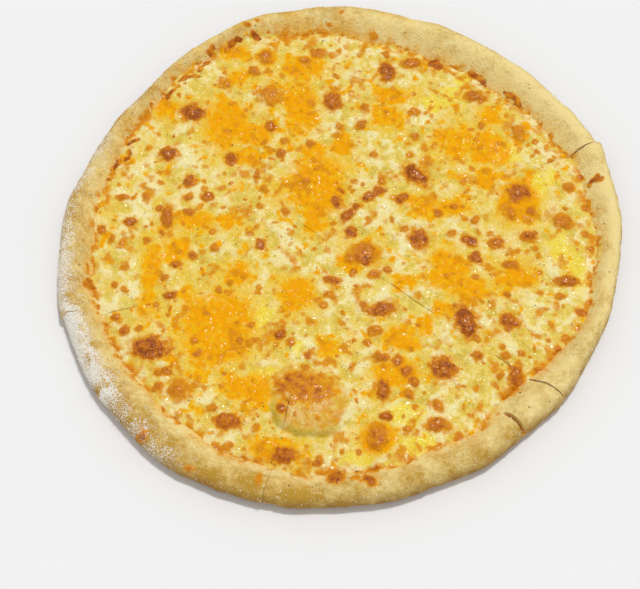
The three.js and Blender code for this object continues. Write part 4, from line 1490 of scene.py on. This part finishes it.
class PIZZA_OT_cheese(bpy.types.Operator):
    """Makes the melted cheese of each slice, with its blisters"""

    bl_idname = "pizza.cheese"
    bl_label = "Cheese"

    def execute(self, context):
        material = cheese_material()
        for index in range(SLICES):
            shown = cheese_of(Slice(index)).build(f"cheese_slice_{index + 1}", [material], CHEESE_SHARP)
            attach(shown, "root")
            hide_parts(f"cheese_{index + 1}")
        return {"FINISHED"}


class PIZZA_OT_shreds(bpy.types.Operator):
    """Lays browned shreds of cheese along the rim"""

    bl_idname = "pizza.shreds"
    bl_label = "Browned Shreds"

    def execute(self, context):
        skin = Skin()
        for row in SHREDS:
            shred(skin, row)
        shown = skin.build("browned_shreds", [shred_material()])
        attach(shown, "root")
        return {"FINISHED"}


class PIZZA_OT_herbs(bpy.types.Operator):
    """Strews flecks of dried herb"""

    bl_idname = "pizza.herbs"
    bl_label = "Herbs"

    def execute(self, context):
        rng = np.random.default_rng(SEED + 1)
        count = context.scene.pizza_sizes.herbs
        radius, bearing = HERB_REACH * np.sqrt(rng.uniform(size=count)), rng.uniform(0, 2 * math.pi, count)
        points = np.stack((radius * np.cos(bearing), radius * np.sin(bearing)), axis=1)
        inset = locate(points)[0]
        points = points[inset > HERB_CLEARANCE]
        height = surface_height(points) + HERB_LIFT
        skin = Skin()
        chips(skin, points, height, rng.uniform(*HERB_LENGTHS, len(points)), HERB_FLATNESS, rng)
        light = tuple(HERB_LIGHTER * part for part in hue("herb")[:3]) + (1,)
        material = fleck_material("dried_herb", hue("herb"), light, 0.8, 0.6)
        shown = skin.build("herb_flecks", [material], CHIP_SHARP)
        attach(shown, "root")
        return {"FINISHED"}


class PIZZA_OT_flour(bpy.types.Operator):
    """Strews coarse grains of flour along the rim"""

    bl_idname = "pizza.flour"
    bl_label = "Flour"

    def execute(self, context):
        rng = np.random.default_rng(SEED + 2)
        points = []
        while len(points) < context.scene.pizza_sizes.grains:
            bearing, share = rng.uniform(-180, 180), rng.uniform()
            thick = max(
                amount * math.exp(-((degrees_off(bearing, middle) / spread) ** 2))
                for middle, spread, amount in FLOUR_STRETCHES
            )
            if rng.uniform() < max(thick, FLOUR_EVERYWHERE) and rng.uniform() > share * GRAIN_THINNING:
                angle = math.radians(bearing)
                reach = float(pie_radius(angle)) - GRAIN_INSET - share * GRAIN_REACH * float(rim_width(angle))
                points.append((reach * math.cos(angle), reach * math.sin(angle)))
        points = np.array(points)
        inset, bearing = locate(points)
        inside = inset > GRAIN_CLEARANCE
        points = points[inside]
        height = rim_top(inset, bearing)[inside] - GRAIN_SINK
        skin = Skin()
        chips(skin, points, height, rng.uniform(*GRAIN_LENGTHS, len(points)), GRAIN_FLATNESS, rng)
        material = fleck_material("coarse_flour", hue("flour"), PALE_FLOUR, 1.0, 0.85)
        shown = skin.build("flour_grains", [material], CHIP_SHARP)
        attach(shown, "root")
        return {"FINISHED"}


class PIZZA_PT_panel(bpy.types.Panel):
    bl_idname = "PIZZA_PT_panel"
    bl_label = "Cheese Pizza"
    bl_space_type = "VIEW_3D"
    bl_region_type = "UI"
    bl_category = "Pizza"

    def draw(self, context):
        for group in (context.scene.pizza_sizes, context.scene.pizza_colours):
            for name in group.__annotations__:
                self.layout.prop(group, name)
        for operator in OPERATORS:
            self.layout.operator(operator.bl_idname)


OPERATORS = (PIZZA_OT_stage, PIZZA_OT_crust, PIZZA_OT_cheese, PIZZA_OT_shreds, PIZZA_OT_herbs, PIZZA_OT_flour)
CLASSES = (PizzaSizes, PizzaColours, *OPERATORS, PIZZA_PT_panel)


def register():
    for item in CLASSES:
        bpy.utils.register_class(item)
    bpy.types.Scene.pizza_sizes = bpy.props.PointerProperty(type=PizzaSizes)
    bpy.types.Scene.pizza_colours = bpy.props.PointerProperty(type=PizzaColours)


def unregister():
    del bpy.types.Scene.pizza_sizes
    del bpy.types.Scene.pizza_colours
    for item in reversed(CLASSES):
        bpy.utils.unregister_class(item)


def main():
    register()
    bpy.ops.pizza.stage()
    bpy.ops.pizza.crust()
    bpy.ops.pizza.cheese()
    bpy.ops.pizza.shreds()
    bpy.ops.pizza.herbs()
    bpy.ops.pizza.flour()


if __name__ == "__main__":
    main()
